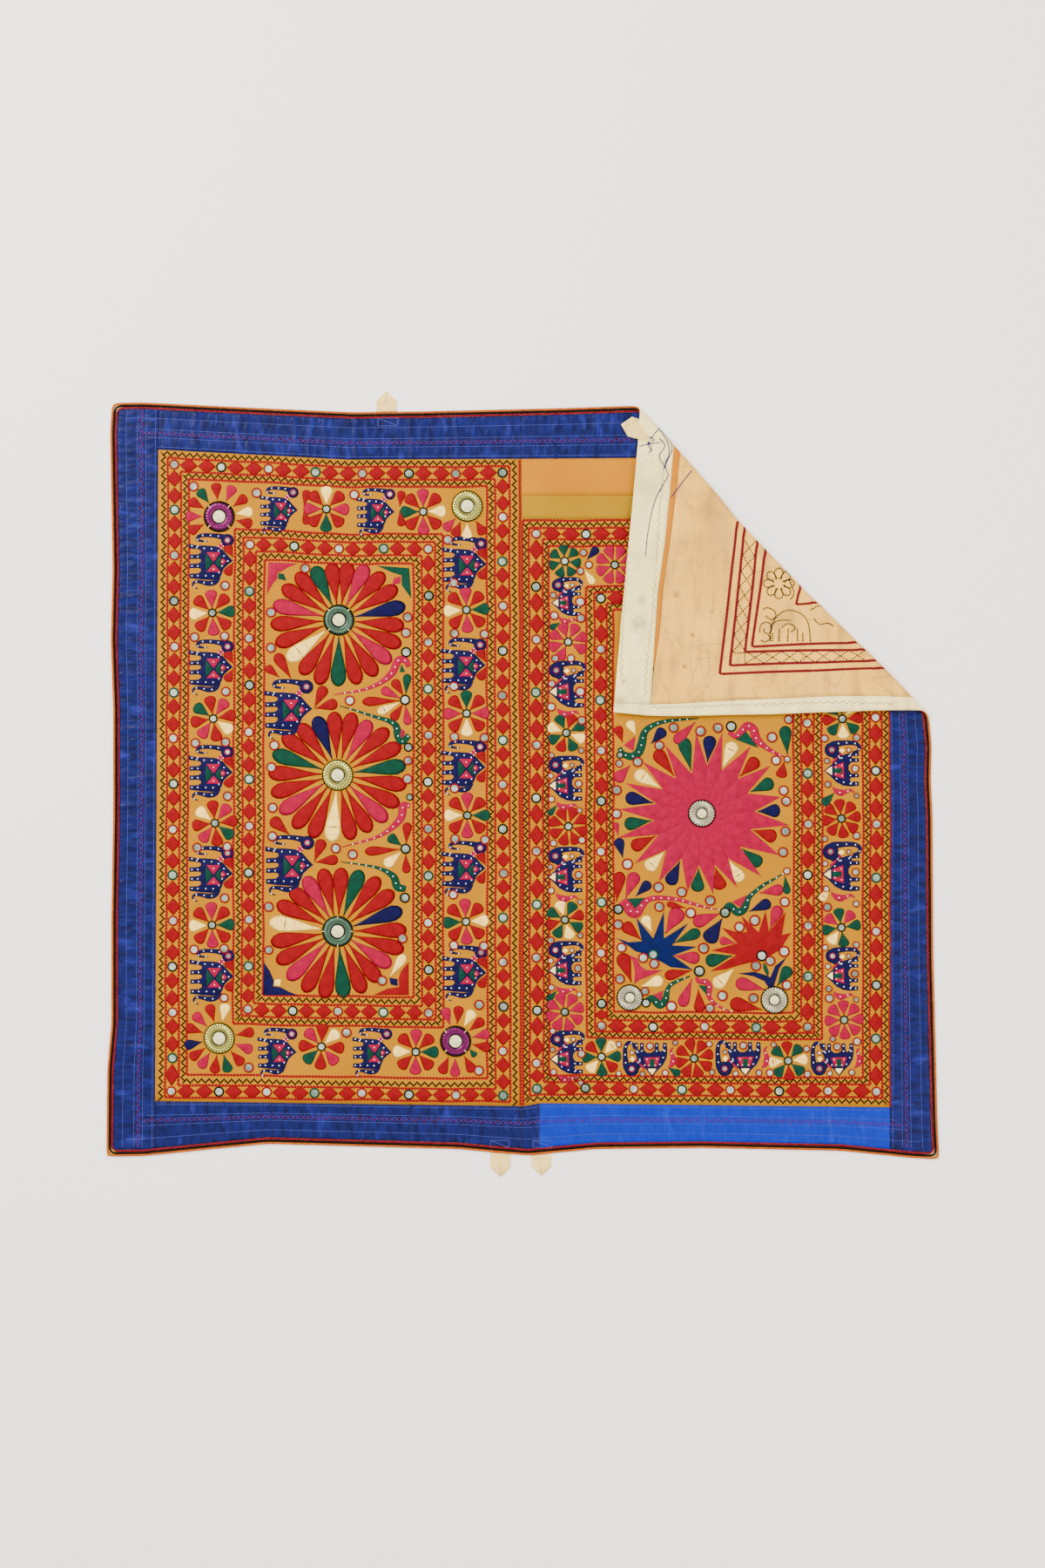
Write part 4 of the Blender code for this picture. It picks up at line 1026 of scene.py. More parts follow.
# The satin of each side: its outer and inner line, whether it stands upright and where its deep creases cross
SATIN_SIDES = {
    "left": (LEFT, (LEFT_SEAM, 0.0), True, (0.402, 0.315, 0.29, 0.184, 0.09, 0.006, -0.043, -0.359, -0.457)),
    "right": (RIGHT, (RIGHT_SEAM, 0.0), True, (0.049, 0.032, 0.02, 0.007, -0.007, -0.137, -0.209, -0.302, -0.431)),
    "top": (TOP, (TOP_SEAM, 0.0), False, (-0.568, -0.493, -0.479, -0.397, -0.373, -0.344, -0.292, -0.196, -0.119,
                                          0.05, 0.12)),
    "bottom": (BOTTOM, (BOTTOM_SEAM, 0.0), False, (-0.52, -0.44, -0.2, 0.11, 0.3, 0.52)),
}


class HangingSettings(bpy.types.PropertyGroup):
    """Sizes and colours of the hanging's finish."""

    mirror: FloatProperty(name="Mirror", description="Diameter of a small mirror with its ring", default=0.0182,
                          min=0.012, max=0.024, unit="LENGTH")
    stitch: FloatProperty(name="Stitch height", description="How far the embroidery stands off the cloth",
                          default=0.0009, min=0.0003, max=0.002, unit="LENGTH")
    chain: FloatProperty(name="Chain stitch", description="Length of one chain stitch", default=0.0056, min=0.003,
                         max=0.01, unit="LENGTH")
    cross: FloatProperty(name="Crossed stitch", description="Spacing of the crossed black stitches", default=0.0127,
                         min=0.008, max=0.02, unit="LENGTH")
    camera: FloatProperty(name="Camera height", description="Height of the camera above the cloth", default=7.0,
                          min=3.0, max=12.0, unit="LENGTH")
    key_light: FloatProperty(name="Key light", description="Strength of the large soft light", default=430.0,
                             min=10.0, max=600.0, unit="POWER")
    surround: FloatVectorProperty(name="Surround", description="Colour of the light from all sides",
                                  default=(0.93, 0.89, 0.84), size=3, subtype="COLOR", min=0.0, max=1.0)


def settings():
    return bpy.context.scene.hanging


class HANGING_OT_panels(bpy.types.Operator):
    """Lay the two yellow panels and the two patch strips"""

    bl_idname = "hanging.panels"
    bl_label = "Panels"

    def execute(self, context):
        sheets = (
            ("yellow_panel_left", "panel_left", "yellow", (LEFT_SEAM, MIDDLE_SEAM, BOTTOM_SEAM, TOP_SEAM), 0.016),
            ("yellow_panel_right", "panel_right", "yellow", (MIDDLE_SEAM, RIGHT_SEAM, BOTTOM_SEAM, PATCH_LOW), 0.012),
            ("mustard_strip", "patch_lower", "mustard", (MIDDLE_SEAM, RIGHT_SEAM, PATCH_LOW, PATCH_HIGH), 0.009),
            ("orange_strip", "patch_upper", "orange", (MIDDLE_SEAM, RIGHT_SEAM, PATCH_HIGH, TOP_SEAM), 0.009),
        )
        for name, node_name, colour, lines, pitch in sheets:
            material = plain_weave_cotton(f"plain_weave_cotton_{colour}", *COTTONS[colour])
            sheet_piece(name, node_name, within(*lines), LINING + GAP, STACK, material, f"{colour}_cotton",
                        (pitch, pitch))
        return {"FINISHED"}


class HANGING_OT_borders(bpy.types.Operator):
    """Lay the satin borders with their ripples"""

    bl_idname = "hanging.borders"
    bl_label = "Satin borders"

    def execute(self, context):
        sheets = (
            ("left", "left", "navy_upright", (LEFT, LEFT_SEAM, BOTTOM, TOP)),
            ("top_left", "top", "navy_level", (LEFT_SEAM, MIDDLE_SEAM, TOP_SEAM, TOP)),
            ("top_right", "top", "navy_level", (MIDDLE_SEAM, RIGHT_SEAM, TOP_SEAM, TOP)),
            ("right", "right", "navy_upright", (RIGHT_SEAM, RIGHT, BOTTOM, TOP)),
            ("bottom_left", "bottom", "navy_level", (LEFT_SEAM, MIDDLE_SEAM, BOTTOM, BOTTOM_SEAM)),
            ("bottom_middle", "bottom", "navy_level", (MIDDLE_SEAM, STUB_SEAM, BOTTOM, BOTTOM_SEAM)),
            ("bottom_right", "bottom", "blue", (STUB_SEAM, RIGHT_SEAM, BOTTOM, BOTTOM_SEAM)),
        )
        for name, side, finish, lines in sheets:
            material = stitched_satin(f"stitched_satin_{finish}", *SATINS[finish])
            pitch = SATIN_PITCH[::-1] if SATIN_SIDES[side][2] else SATIN_PITCH
            sheet_piece(f"satin_border_{name}", f"border_{name}", within(*lines), LINING + GAP, STACK, material,
                        f"{finish.split('_')[0]}_satin", pitch, partial(satin_rise, side))
        return {"FINISHED"}


class HANGING_OT_backs(bpy.types.Operator):
    """Lay the lining, the facings and the raw orange turning"""

    bl_idname = "hanging.backs"
    bl_label = "Lining and facings"

    def execute(self, context):
        beige = plain_weave_cotton("plain_weave_cotton_unbleached", *COTTONS["unbleached"], LINING_STAINS, 0.008)
        cream = plain_weave_cotton("plain_weave_cotton_cream", *COTTONS["cream"], FACING_STAINS, 0.006)
        orange = plain_weave_cotton("plain_weave_cotton_raw_orange", *COTTONS["raw_orange"])
        left, right, bottom, top = (LEFT_EDGE, HEM), (RIGHT_EDGE, -HEM), (BOTTOM_EDGE, HEM), (TOP_EDGE, -HEM)
        start, end = ((((-700, place / MM), (700, place / MM)), 0.0) for place in TURNING_ENDS)
        sheets = (
            ("unbleached_lining", "lining", beige, "beige", (left, FACING_SIDE, bottom, LINING_TOP), 0.0105),
            ("cream_facing_top", "facing_top", cream, "cream", (left, FACING_SIDE, FACING_TOP, top), 0.007),
            ("cream_facing_right", "facing_right", cream, "cream", (FACING_SIDE, right, bottom, top), 0.007),
            ("raw_turning", "turning", orange, "orange", (start, end, LINING_TOP, FACING_TOP), 0.004),
        )
        for name, node_name, material, colour, lines, pitch in sheets:
            sheet_piece(name, node_name, within(*lines), 0.0, LINING, material, f"{colour}_cotton", (pitch, pitch),
                        back_relief)
        return {"FINISHED"}


def edge_loop(depth, pitch):
    """The line round the hanging at a depth from its edge, as x and y."""
    left, right, bottom, top = (LEFT_EDGE, depth), (RIGHT_EDGE, -depth), (BOTTOM_EDGE, depth), (TOP_EDGE, -depth)
    corners = [crossing(left, bottom), crossing(right, bottom), crossing(right, top), crossing(left, top)]
    out = []
    for index, (line, upright) in enumerate(((bottom, False), (right, True), (top, False), (left, True))):
        start, end = corners[index], corners[(index + 1) % 4]
        count = round(math.dist(start, end) / pitch)
        share = np.arange(count) / count
        if upright:
            y = start[1] + (end[1] - start[1]) * share
            out.append(np.stack((straight(line[0], y) + line[1], y), axis=1))
        else:
            x = start[0] + (end[0] - start[0]) * share
            out.append(np.stack((x, straight(line[0], x) + line[1]), axis=1))
    return np.vstack(out)


def softened(line, times):
    """A closed line with its corners eased."""
    for _ in range(times):
        line = (np.roll(line, 1, axis=0) + 2 * line + np.roll(line, -1, axis=0)) / 4
    return line


class HANGING_OT_piping(bpy.types.Operator):
    """Wind the three cords of piping round the edge"""

    bl_idname = "hanging.piping"
    bl_label = "Piping"

    def execute(self, context):
        depth = 0.0
        for colour, width in PIPING:
            line = softened(edge_loop(depth + width / 2, 0.0042), 6)
            mesh = bmesh.new()
            count = len(line)
            bmesh.ops.create_grid(mesh, x_segments=count, y_segments=8, size=0.5)
            along = np.roll(line, -1, axis=0) - np.roll(line, 1, axis=0)
            along /= np.linalg.norm(along, axis=1)[:, None]
            far = lengths_along(line)
            for vert in mesh.verts:
                index = round((vert.co.x + 0.5) * count) % count
                angle = (vert.co.y + 0.5) * math.tau
                out = math.cos(angle) * (width - GAP) / 2
                vert.co = (line[index, 0] - along[index, 1] * out, line[index, 1] + along[index, 0] * out,
                           PIPING_MIDDLE + PIPING_RISE * math.sin(angle))
            bmesh.ops.remove_doubles(mesh, verts=mesh.verts[:], dist=1e-6)
            places, loops, sizes = arrays_of(mesh)
            nearest = np.array([np.argmin(np.abs(line[:, 0] - x) + np.abs(line[:, 1] - y))
                                for x, y in places[:, :2]])
            grain = np.stack((far[nearest], places[:, 2]), axis=1)
            material = silk_floss(f"cotton_piping_{colour}", *PIPING_COLOURS[colour], 0.9)
            add_piece(f"piping_cord_{colour}", (places, loops, sizes, grain), material,
                      [f"piping_{colour}_{side}" for side in ("left", "right", "top", "bottom")])
            depth += width
        return {"FINISHED"}


def tab_part(foot, tip, gap_line, low, side):
    """A flat band with a folded point: the band, and the two corners turned over on it."""
    length = math.dist(foot, tip)
    forward = ((tip[0] - foot[0]) / length, (tip[1] - foot[1]) / length)
    over = (forward[1], -forward[0])
    shoulder = length - TAB_WIDTH * TAB_POINT

    def spot(far, off):
        return (foot[0] + far * forward[0] + off * over[0] * TAB_WIDTH / 2,
                foot[1] + far * forward[1] + off * over[1] * TAB_WIDTH / 2)

    def foot_spot(off):
        x, y = spot(0, off)
        return (x, float(straight(gap_line[0], x)) + gap_line[1]) if gap_line else (x, y)

    outline = [foot_spot(-1), foot_spot(1), spot(shoulder, 1), spot(length, 0), spot(shoulder, -1)]
    thick = TAB_THICK * 0.55
    parts = [filled(outline, thick, thick * 0.6, 0.0012)]
    for hand in (-1, 1):
        turned = [spot(shoulder - 0.006, hand * 0.97), spot(length - 0.0015, hand * 0.02),
                  spot(shoulder - 0.006, hand * 0.06)]
        flap = filled(turned, TAB_THICK * 0.4, TAB_THICK * 0.25, 0.0008)
        flap[0][:, 2] += thick
        parts.append(flap)
    places, loops, sizes, grain = joined(parts)
    places[:, 2] = low + side * (places[:, 2] - STACK)
    return places, reverse_faces(loops, sizes) if side < 0 else loops, sizes, grain


class HANGING_OT_tabs(bpy.types.Operator):
    """Sew the four flat tabs at the edges"""

    bl_idname = "hanging.tabs"
    bl_label = "Tabs"

    def execute(self, context):
        material = plain_weave_cotton("plain_weave_cotton_tab", *COTTONS["tab"])
        for name, x, edge, tip in TABS:
            line = (edge, math.copysign(GAP, tip))
            foot = (x, float(straight(edge, x)) + line[1])
            part = tab_part(foot, (x, tip), line, 0.0, 1)
            add_piece(f"cotton_{name}", part, material, (name,))
        part = tab_part(*CORNER_TAB, None, -GAP, -1)
        add_piece("cotton_tab_corner", part, material, ("tab_corner",))
        return {"FINISHED"}


class HANGING_OT_rosettes(bpy.types.Operator):
    """Set the ten stamped rosettes with their glass and ties"""

    bl_idname = "hanging.rosettes"
    bl_label = "Rosettes"

    def execute(self, context):
        # Each finish: colour, the painted shade colour of its hollows, gloss, and the heights in millimetres between
        # which the painted shade fades out
        finishes = {
            "gold": stamped_foil("stamped_brass_pale_lacquer", "#D8D066", "#1C1803", 0.28, 2.7, 4.4),
            "silver": stamped_foil("stamped_tin", "#D2C8A6", "#181107", 0.34, 3.1, 5.1),
            "green": stamped_foil("stamped_tin_green_lacquer", "#52705A", "#0C1510", 0.33, 3.0, 4.3),
            "purple": stamped_foil("stamped_tin_purple_lacquer", "#7E1A60", "#160309", 0.30, 3.0, 4.4),
        }
        glass, ties, tie_material = [], [], thread("cream")
        for name, x, y, radius, make in ROSETTES:
            section = ROSETTE_SECTIONS[make]
            inner, outer, bosses, depth = ROSETTE_STAMPS[make]
            mesh = bmesh.new()
            points = [(share * radius * MM, rise * MM) for share, rise in section] + [(radius * MM, 0.0), (0.0, 0.0)]
            verts = [mesh.verts.new((off, 0.0, up)) for off, up in points]
            edges = [mesh.edges.new(pair) for pair in zip(verts, verts[1:])]
            bmesh.ops.spin(mesh, geom=verts + edges, cent=(0, 0, 0), axis=(0, 0, 1), angle=math.tau, steps=4 * bosses,
                           use_merge=True)
            bmesh.ops.remove_doubles(mesh, verts=mesh.verts[:], dist=1e-6)
            places, loops, sizes = arrays_of(mesh)
            away = np.hypot(places[:, 0], places[:, 1]) / (radius * MM)
            share = np.clip((away - inner) / (outer - inner), 0, 1)
            angle = np.arctan2(places[:, 1], places[:, 0])
            stamp = np.sin(np.pi * share) * np.cos(angle * bosses) * depth * MM / 2
            places[:, 2] += np.where(places[:, 2] > 0.0007, stamp, 0) + STACK + GAP
            places[:, 0] += x * MM
            places[:, 1] += y * MM
            grain = places[:, :2].copy()
            add_piece(f"stamped_rosette_{name}", (places, loops, sizes, grain), finishes[make],
                      (f"rosette_{name}",))
            centre = (0.40 if make != "silver" else 0.34) * radius * MM
            lift = STACK + GAP + (0.0026 if make != "silver" else 0.0034)
            glass.append(repeated(raised(circle(24), shrink=(0.9, 0.9), edge=0.6), x * MM, y * MM, 0.0, centre * 2,
                                  centre * 2, 0.0007, lift))
            if make in ("purple", "green"):
                turns = np.radians(45 if make == "purple" or name == "green_high" else 0) + np.arange(4) * math.pi / 2
                far = 0.86 * radius * MM
                ties.append(repeated(lens(6), x * MM + far * np.cos(turns), y * MM + far * np.sin(turns), turns,
                                     0.0085, 0.0014, 0.0010, STACK + GAP + 0.0032))
        add_piece("rosette_glass", joined(glass), silk_floss("painted_glass_cream", "#E2DCA8", "#B4AA74", 0.3))
        add_piece("rosette_ties", joined(ties), tie_material)
        return {"FINISHED"}


def bent(panel, x, y):
    """A place in a panel's straight outline, moved as its seams bend it, with a hand's small wander."""
    _, (left, right, bottom, top), seams, _ = PANELS[panel]
    left, right, bottom, top = (value * MM for value in (left, right, bottom, top))
    u, v = (x - left) / (right - left), (y - bottom) / (top - bottom)
    dx = (1 - u) * (straight(seams[0], y) - left) + u * (straight(seams[1], y) - right)
    dy = (1 - v) * (straight(seams[2], x) - bottom) + v * (straight(seams[3], x) - top)
    wander_x = 0.0006 * np.sin(y * 29 + x * 7) + 0.0004 * np.sin(y * 71 + x * 13)
    wander_y = 0.0006 * np.sin(x * 31 + y * 5) + 0.0004 * np.sin(x * 67 + y * 11)
    return x + dx + wander_x, y + dy + wander_y


def ring_sides(panel, ring):
    """The sides of a ring as straight runs: start, end and whether upright."""
    _, left, right, top, bottom = ring
    _, outline, _, _ = PANELS[panel]
    high = top or MIDDLE[1] - outline[3] * MM / STEP + 1.5
    low = bottom or MIDDLE[1] - outline[2] * MM / STEP - 1.0
    sides = []
    for at in (left, right):
        if at:
            sides.append(((at, high), (at, low), True))
    for at in (top, bottom):
        if at:
            sides.append(((left or right, at), (right, at), False))
    return sides


def run(panel, start, end, pitch, last=LAST_STITCH):
    """The seen ones of even stitches between two places in steps: middle x and y, turn and length."""
    (x0, x1), (y0, y1) = steps((start[0], end[0]), (start[1], end[1]))
    count = max(1, round(math.hypot(x1 - x0, y1 - y0) / pitch))
    share = np.arange(count + 1) / count
    x, y = bent(panel, x0 + (x1 - x0) * share, y0 + (y1 - y0) * share)
    dx, dy = np.diff(x), np.diff(y)
    x, y = (x[1:] + x[:-1]) / 2, (y[1:] + y[:-1]) / 2
    seen = visible(x, y, last)
    return x[seen], y[seen], np.arctan2(dy, dx)[seen], np.hypot(dx, dy)[seen]


def mirror_pieces(prefix, rows):
    """Small mirrors and their worked rings, from x and y in metres, colour and size."""
    diameter = settings().mirror
    rows = [row for row in rows if visible(row[0], row[1], 0.004)]
    x, y, size = (np.array([row[index] for row in rows]) for index in (0, 1, 3))
    glass = repeated(raised(circle(12), shrink=(0.86, 0.86), edge=0.6), x, y, x * 900, size * diameter * 0.7,
                     size * diameter * 0.7, 0.0012)
    add_piece(f"{prefix}_mirrors", glass, blown_mirror_glass(), smooth=False)
    for letter, colour in MIRROR_COLOURS.items():
        chosen = np.array([row[2] == letter for row in rows])
        if chosen.any():
            rings = repeated(ring_shape(), x[chosen], y[chosen], 0.0, size[chosen] * diameter,
                             size[chosen] * diameter, 0.0017)
            add_piece(f"{prefix}_mirror_rings_{colour}", rings, thread(colour))


def diamond_row(panel, start, end, pitch, colours):
    """Mirrors along a side, and the ends of the red diamonds between them in steps."""
    length = math.dist(start, end)
    places = list(np.arange(0, length - 0.42 * pitch, pitch)) + [length]

    def spot(far):
        return tuple(a + (b - a) * far / length for a, b in zip(start, end))

    mirrors = [(*bent(panel, *steps(*spot(at))), colours[index % len(colours)], 1.0)
               for index, at in enumerate(places)]
    diamonds = []
    for first, last in zip(places, places[1:]):
        free = last - first - 2 * MIRROR_ROOM
        count = max(1, round(free / 20.5))
        for index in range(count):
            at = first + MIRROR_ROOM + free * (index + 0.5) / count
            diamonds.append([spot(at + off) for off in (-free / count / 2, free / count / 2)])
    return mirrors, diamonds


class HANGING_OT_rings(bpy.types.Operator):
    """Work the rings of chain, crossed stitches, diamonds and mirrors round each panel"""

    bl_idname = "hanging.rings"
    bl_label = "Stitched rings"

    def execute(self, context):
        link, rod = lens(8), lens(6)
        diamond = raised(diamond_outline(), shrink=(0.78, 0.78))
        mirrors = []
        for panel, (rings, _, _, pitches) in PANELS.items():
            chains, crosses, diamonds = [], [], []
            for ring in rings:
                for index, (start, end, upright) in enumerate(ring_sides(panel, ring)):
                    if ring[0] == "chain":
                        x, y, turn, length = run(panel, start, end, settings().chain)
                        chains.append(repeated(link, x, y, turn, length * 1.12, *CHAIN_STITCH))
                    elif ring[0] == "cross":
                        x, y, turn, length = run(panel, start, end, settings().cross / 2)
                        lean = np.where(np.arange(len(x)) % 2 == 0, 1, -1) * math.radians(46)
                        crosses.append(repeated(rod, x, y, turn + lean, length * 2.25, *CROSSED_STITCH,
                                                STACK + 0.0001))
                    else:
                        pitch, colours = pitches[0 if ring[4] > 1200 else 1][index % 2]
                        if not upright:
                            colours = "rkrg"
                            pitch = (end[0] - start[0]) / round((end[0] - start[0]) / 55.2)
                        elif panel == "right" and index == 1:
                            start, end = end, start
                        found, between_them = diamond_row(panel, start, end, pitch, colours)
                        mirrors += found if upright else found[1:-1]
                        for near, far in between_them:
                            x, y, turn, length = run(panel, near, far, 1.0, 0.012)
                            diamonds.append(repeated(diamond, x, y, turn, length, *DIAMOND))
            for name, parts, colour in (("chain_lines", chains, "red"), ("crossed_lines", crosses, "black"),
                                        ("diamonds", diamonds, "red")):
                add_piece(f"{name}_{panel}", joined(parts), thread(colour))
        mirror_pieces("ring", mirrors)
        return {"FINISHED"}


def add_drop(heap, letter, round_x, round_y, tip_x, tip_y, width):
    """A drop from its tip to a little past its round end, in steps, with bars on a barred one."""
    shape = raised(drop_outline(), centre=(0.62, 0.0), shrink=(0.8, 0.68))
    (x0, x1), (y0, y1) = steps((tip_x, round_x), (tip_y, round_y))
    if letter not in PETAL_COLOURS or not visible((x0 + x1) / 2, (y0 + y1) / 2, 0.0):
        return
    turn = math.atan2(y1 - y0, x1 - x0)
    wide = width * 1.12 * STEP
    length = math.hypot(x1 - x0, y1 - y0) + wide * 0.45
    rise = settings().stitch
    heap[PETAL_COLOURS[letter]].append(repeated(shape, x0, y0, turn, length, wide, rise))
    if letter == "b":
        for far, span, thick in ((0.70, 0.94, 0.0030), (0.52, 0.74, 0.0012), (0.86, 0.8, 0.0009)):
            heap["brown"].append(repeated(
                lens(8), x0 + math.cos(turn) * length * far, y0 + math.sin(turn) * length * far,
                turn + math.pi / 2, wide * span, thick, 0.0004, STACK + rise * 0.85))


def polar(x, y, bearing, far):
    """The place so many steps from another, by its bearing in degrees from the right, against the clock."""
    turn = math.radians(bearing)
    return x + far * math.cos(turn), y - far * math.sin(turn)


def drops_round(heap, x, y, colours, bearings, reaches, tips, width):
    """Drops round a place: how far out their round ends and their tips are, in steps."""
    shares = (np.broadcast_to(value, len(colours)) for value in (bearings, reaches, tips))
    for letter, bearing, reach, tip in zip(colours, *shares):
        add_drop(heap, letter, *polar(x, y, bearing, reach), *polar(x, y, bearing, tip), width)


def clockwise(bearing, count):
    """Even bearings in degrees, clockwise from the first."""
    return [bearing - index * 360 / count for index in range(count)]


def dots_along(line, pitch):
    """Places at an even spacing along a line of x and y."""
    line = np.asarray(line, float)[:, :2]
    far = lengths_along(line)
    at = np.arange(pitch / 2, far[-1], pitch)
    return np.stack((np.interp(at, far, line[:, 0]), np.interp(at, far, line[:, 1])), axis=1)


def elephant(kind):
    """All the parts of one elephant by colour, worked from the middle of its saddle, and its white dots."""
    shape = ELEPHANTS[kind]
    heap = defaultdict(list, navy=[filled(np.array(shape["body"]) * STEP)])
    dots = [dots_along(np.array(shape["body"][:shape["back"]]) * 0.8, 9.0)]
    for colour, line in shape["lines"]:
        heap[colour].append(band(np.array(line) * STEP, 4))
        dots.append(dots_along(smooth_line(line, 3)[3:], 9.5))
    x, y, radius = np.array(shape["head"]) * STEP
    heap["navy"].append(repeated(raised(circle(16), shrink=(0.75, 0.75)), x, y, 0.0, 2 * radius, 2 * radius, 0.0009))
    for colour, corners in shape["patches"]:
        pad = filled(np.array(corners) * STEP, 0.0007, 0.0003, 0.0005)
        pad[0][:, 2] += 0.0009 if colour == "green" else 0.0006
        heap[colour].append(pad)
        middle = np.mean(corners, axis=0)
        far = 0.62 if len(corners) == 4 and colour == "pink" else 0.0
        dots.append([middle + (np.array(corner) - middle) * far for corner in corners[:4 if far else 1]])
    foot, knee, legs = shape["legs"]
    dots.append([(far, leg) for leg in legs for far in (foot, knee)])
    return heap, np.vstack([np.asarray(rows, float).reshape(-1, 2) for rows in dots])


class HANGING_OT_figures(bpy.types.Operator):
    """Work the flowers, wheels, elephants, birds, stars and drops"""

    bl_idname = "hanging.figures"
    bl_label = "Figures"

    def execute(self, context):
        heap, mirrors, dots = defaultdict(list), [], []
        for x, y, bearing, colours in FLOWERS:
            reach = 13.6 if len(colours) == 7 else 20.2 if x < MIDDLE[0] else 16.8
            drops_round(heap, x, y, colours, clockwise(bearing, len(colours)), reach, 5, 7.5 + reach * 0.25)
            mirrors.append((x, y, "k", 0.85))
        for x, y, bearing, colours, reaches in WHEELS:
            drops_round(heap, x, y, colours, clockwise(bearing, len(colours)), reaches, 18.5, 16.6)
        for x, y, reach, colours, bearings in CORNER_PETALS:
            drops_round(heap, x, y, colours, bearings, reach, 19.5, 11)
        for row in DROPS:
            add_drop(heap, *row)
        sun = [polar(*SUN, *point) for pair in zip(SUN_TIPS, SUN_NOTCHES) for point in pair]
        notches, depths = np.array(SUN_NOTCHES).T
        drops_round(heap, *SUN, SUN_DROPS, notches, SUN_DROP_REACH - 5, depths + 4, 14)
        for at in range(0, len(sun), 2):
            pad = filled(in_metres((SUN, sun[at - 1], sun[at], sun[at + 1])), edge=0.0006, inset=0.0006)
            start, end = in_metres((SUN, sun[at]))
            out = pad[3] - start
            along = (end - start) / math.dist(start, end)
            grain = np.stack((out[:, 0] * along[1] - out[:, 1] * along[0], out @ along), axis=1)
            heap["pink"].append((*pad[:3], grain))
        for colour, corners in SHAPES:
            heap[colour].append(filled(in_metres(corners)))
        for colour, wing_colour, line, wing in BIRDS:
            x, y, half = np.array(line).T
            heap[colour].append(band(np.stack((*steps(x, y), half * STEP), axis=1), 5))
            dots.extend(dots_along(smooth_line(line, 4), 8.5)[1:])
            if wing:
                pad = filled(in_metres(wing), 0.0007, 0.0003)
                pad[0][:, 2] += 0.0005
                heap[wing_colour].append(pad)
        for kind, places in (("left", LEFT_ELEPHANTS), ("right", RIGHT_ELEPHANTS)):
            made, white = elephant(kind)
            eye = (*ELEPHANTS[kind]["head"][:2], "p", 0.62)
            for x, y, quarter, size in places:
                turn = quarter * math.pi / 2
                for colour, parts in made.items():
                    heap[colour] += [moved(part, *steps(x, y), turn, size) for part in parts]
                cos, sin = math.cos(turn) * size, math.sin(turn) * size
                dots += [(x + u * cos - v * sin, y - u * sin - v * cos) for u, v in white]
                mirrors += [(x + u * cos - v * sin, y - u * sin - v * cos, colour, share)
                            for u, v, colour, share in (eye, *(SIDE_MIRRORS if kind == "right" else ()))]
                if kind == "left" and size < 1 and 600 < y < 1190:
                    for up in (13, -13):
                        add_drop(heap, "r", x + 20.5, y + up, x + 26, y + up * 0.2, 10)
        for x, y, _, _ in FLOWERS[:8]:
            side = 1 if x < 400 else -1
            mirrors += [(x - side * 20.5, y + 28, "r", 0.95), (x + side * 14, y + 27, "r", 0.95),
                        (x + side * 14.5, y - 31, "r", 0.95)]
        mirrors = [row for row in mirrors if all(math.dist(row[:2], placed[:2]) > 9 for placed in MIRRORS)]
        mirrors += MIRRORS
        mirror_pieces("figure", [(*steps(x, y), colour, size) for x, y, colour, size in mirrors])
        for colour, parts in heap.items():
            add_piece(f"figures_{colour}", joined(parts), thread(colour))
        x, y = steps(*np.array(dots).T)
        seen = visible(x, y, 0.0)
        across, high = WHITE_DOT
        add_piece("white_dots", repeated(raised(circle(8), shrink=(0.6, 0.6)), x[seen], y[seen], 0.0, across, across,
                                         high, STACK + 0.0008), thread("white"))
        return {"FINISHED"}


def border_line(share, side, start, end, pitch):
    """The seen places along one side's border at a share of its width, in metres."""
    count = max(2, round(abs(end - start) / pitch))
    at = start + (end - start) * np.arange(count + 1) / count
    outer, inner, upright, _ = SATIN_SIDES[side]
    over = (straight(outer[0], at) + outer[1]) * (1 - share) + (straight(inner[0], at) + inner[1]) * share
    x, y = (over, at) if upright else (at, over)
    seen = visible(x, y, 0.0)
    return x[seen], y[seen]


def dashes(x, y, width, height, base, cover=0.8, side=1, lean=0.0):
    """One thin stitch between each two places in a row."""
    dx, dy = np.diff(x), np.diff(y)
    return repeated(lens(6), (x[1:] + x[:-1]) / 2, (y[1:] + y[:-1]) / 2, np.arctan2(dy, dx) + lean,
                    np.hypot(dx, dy) * cover, width, height, base, side)


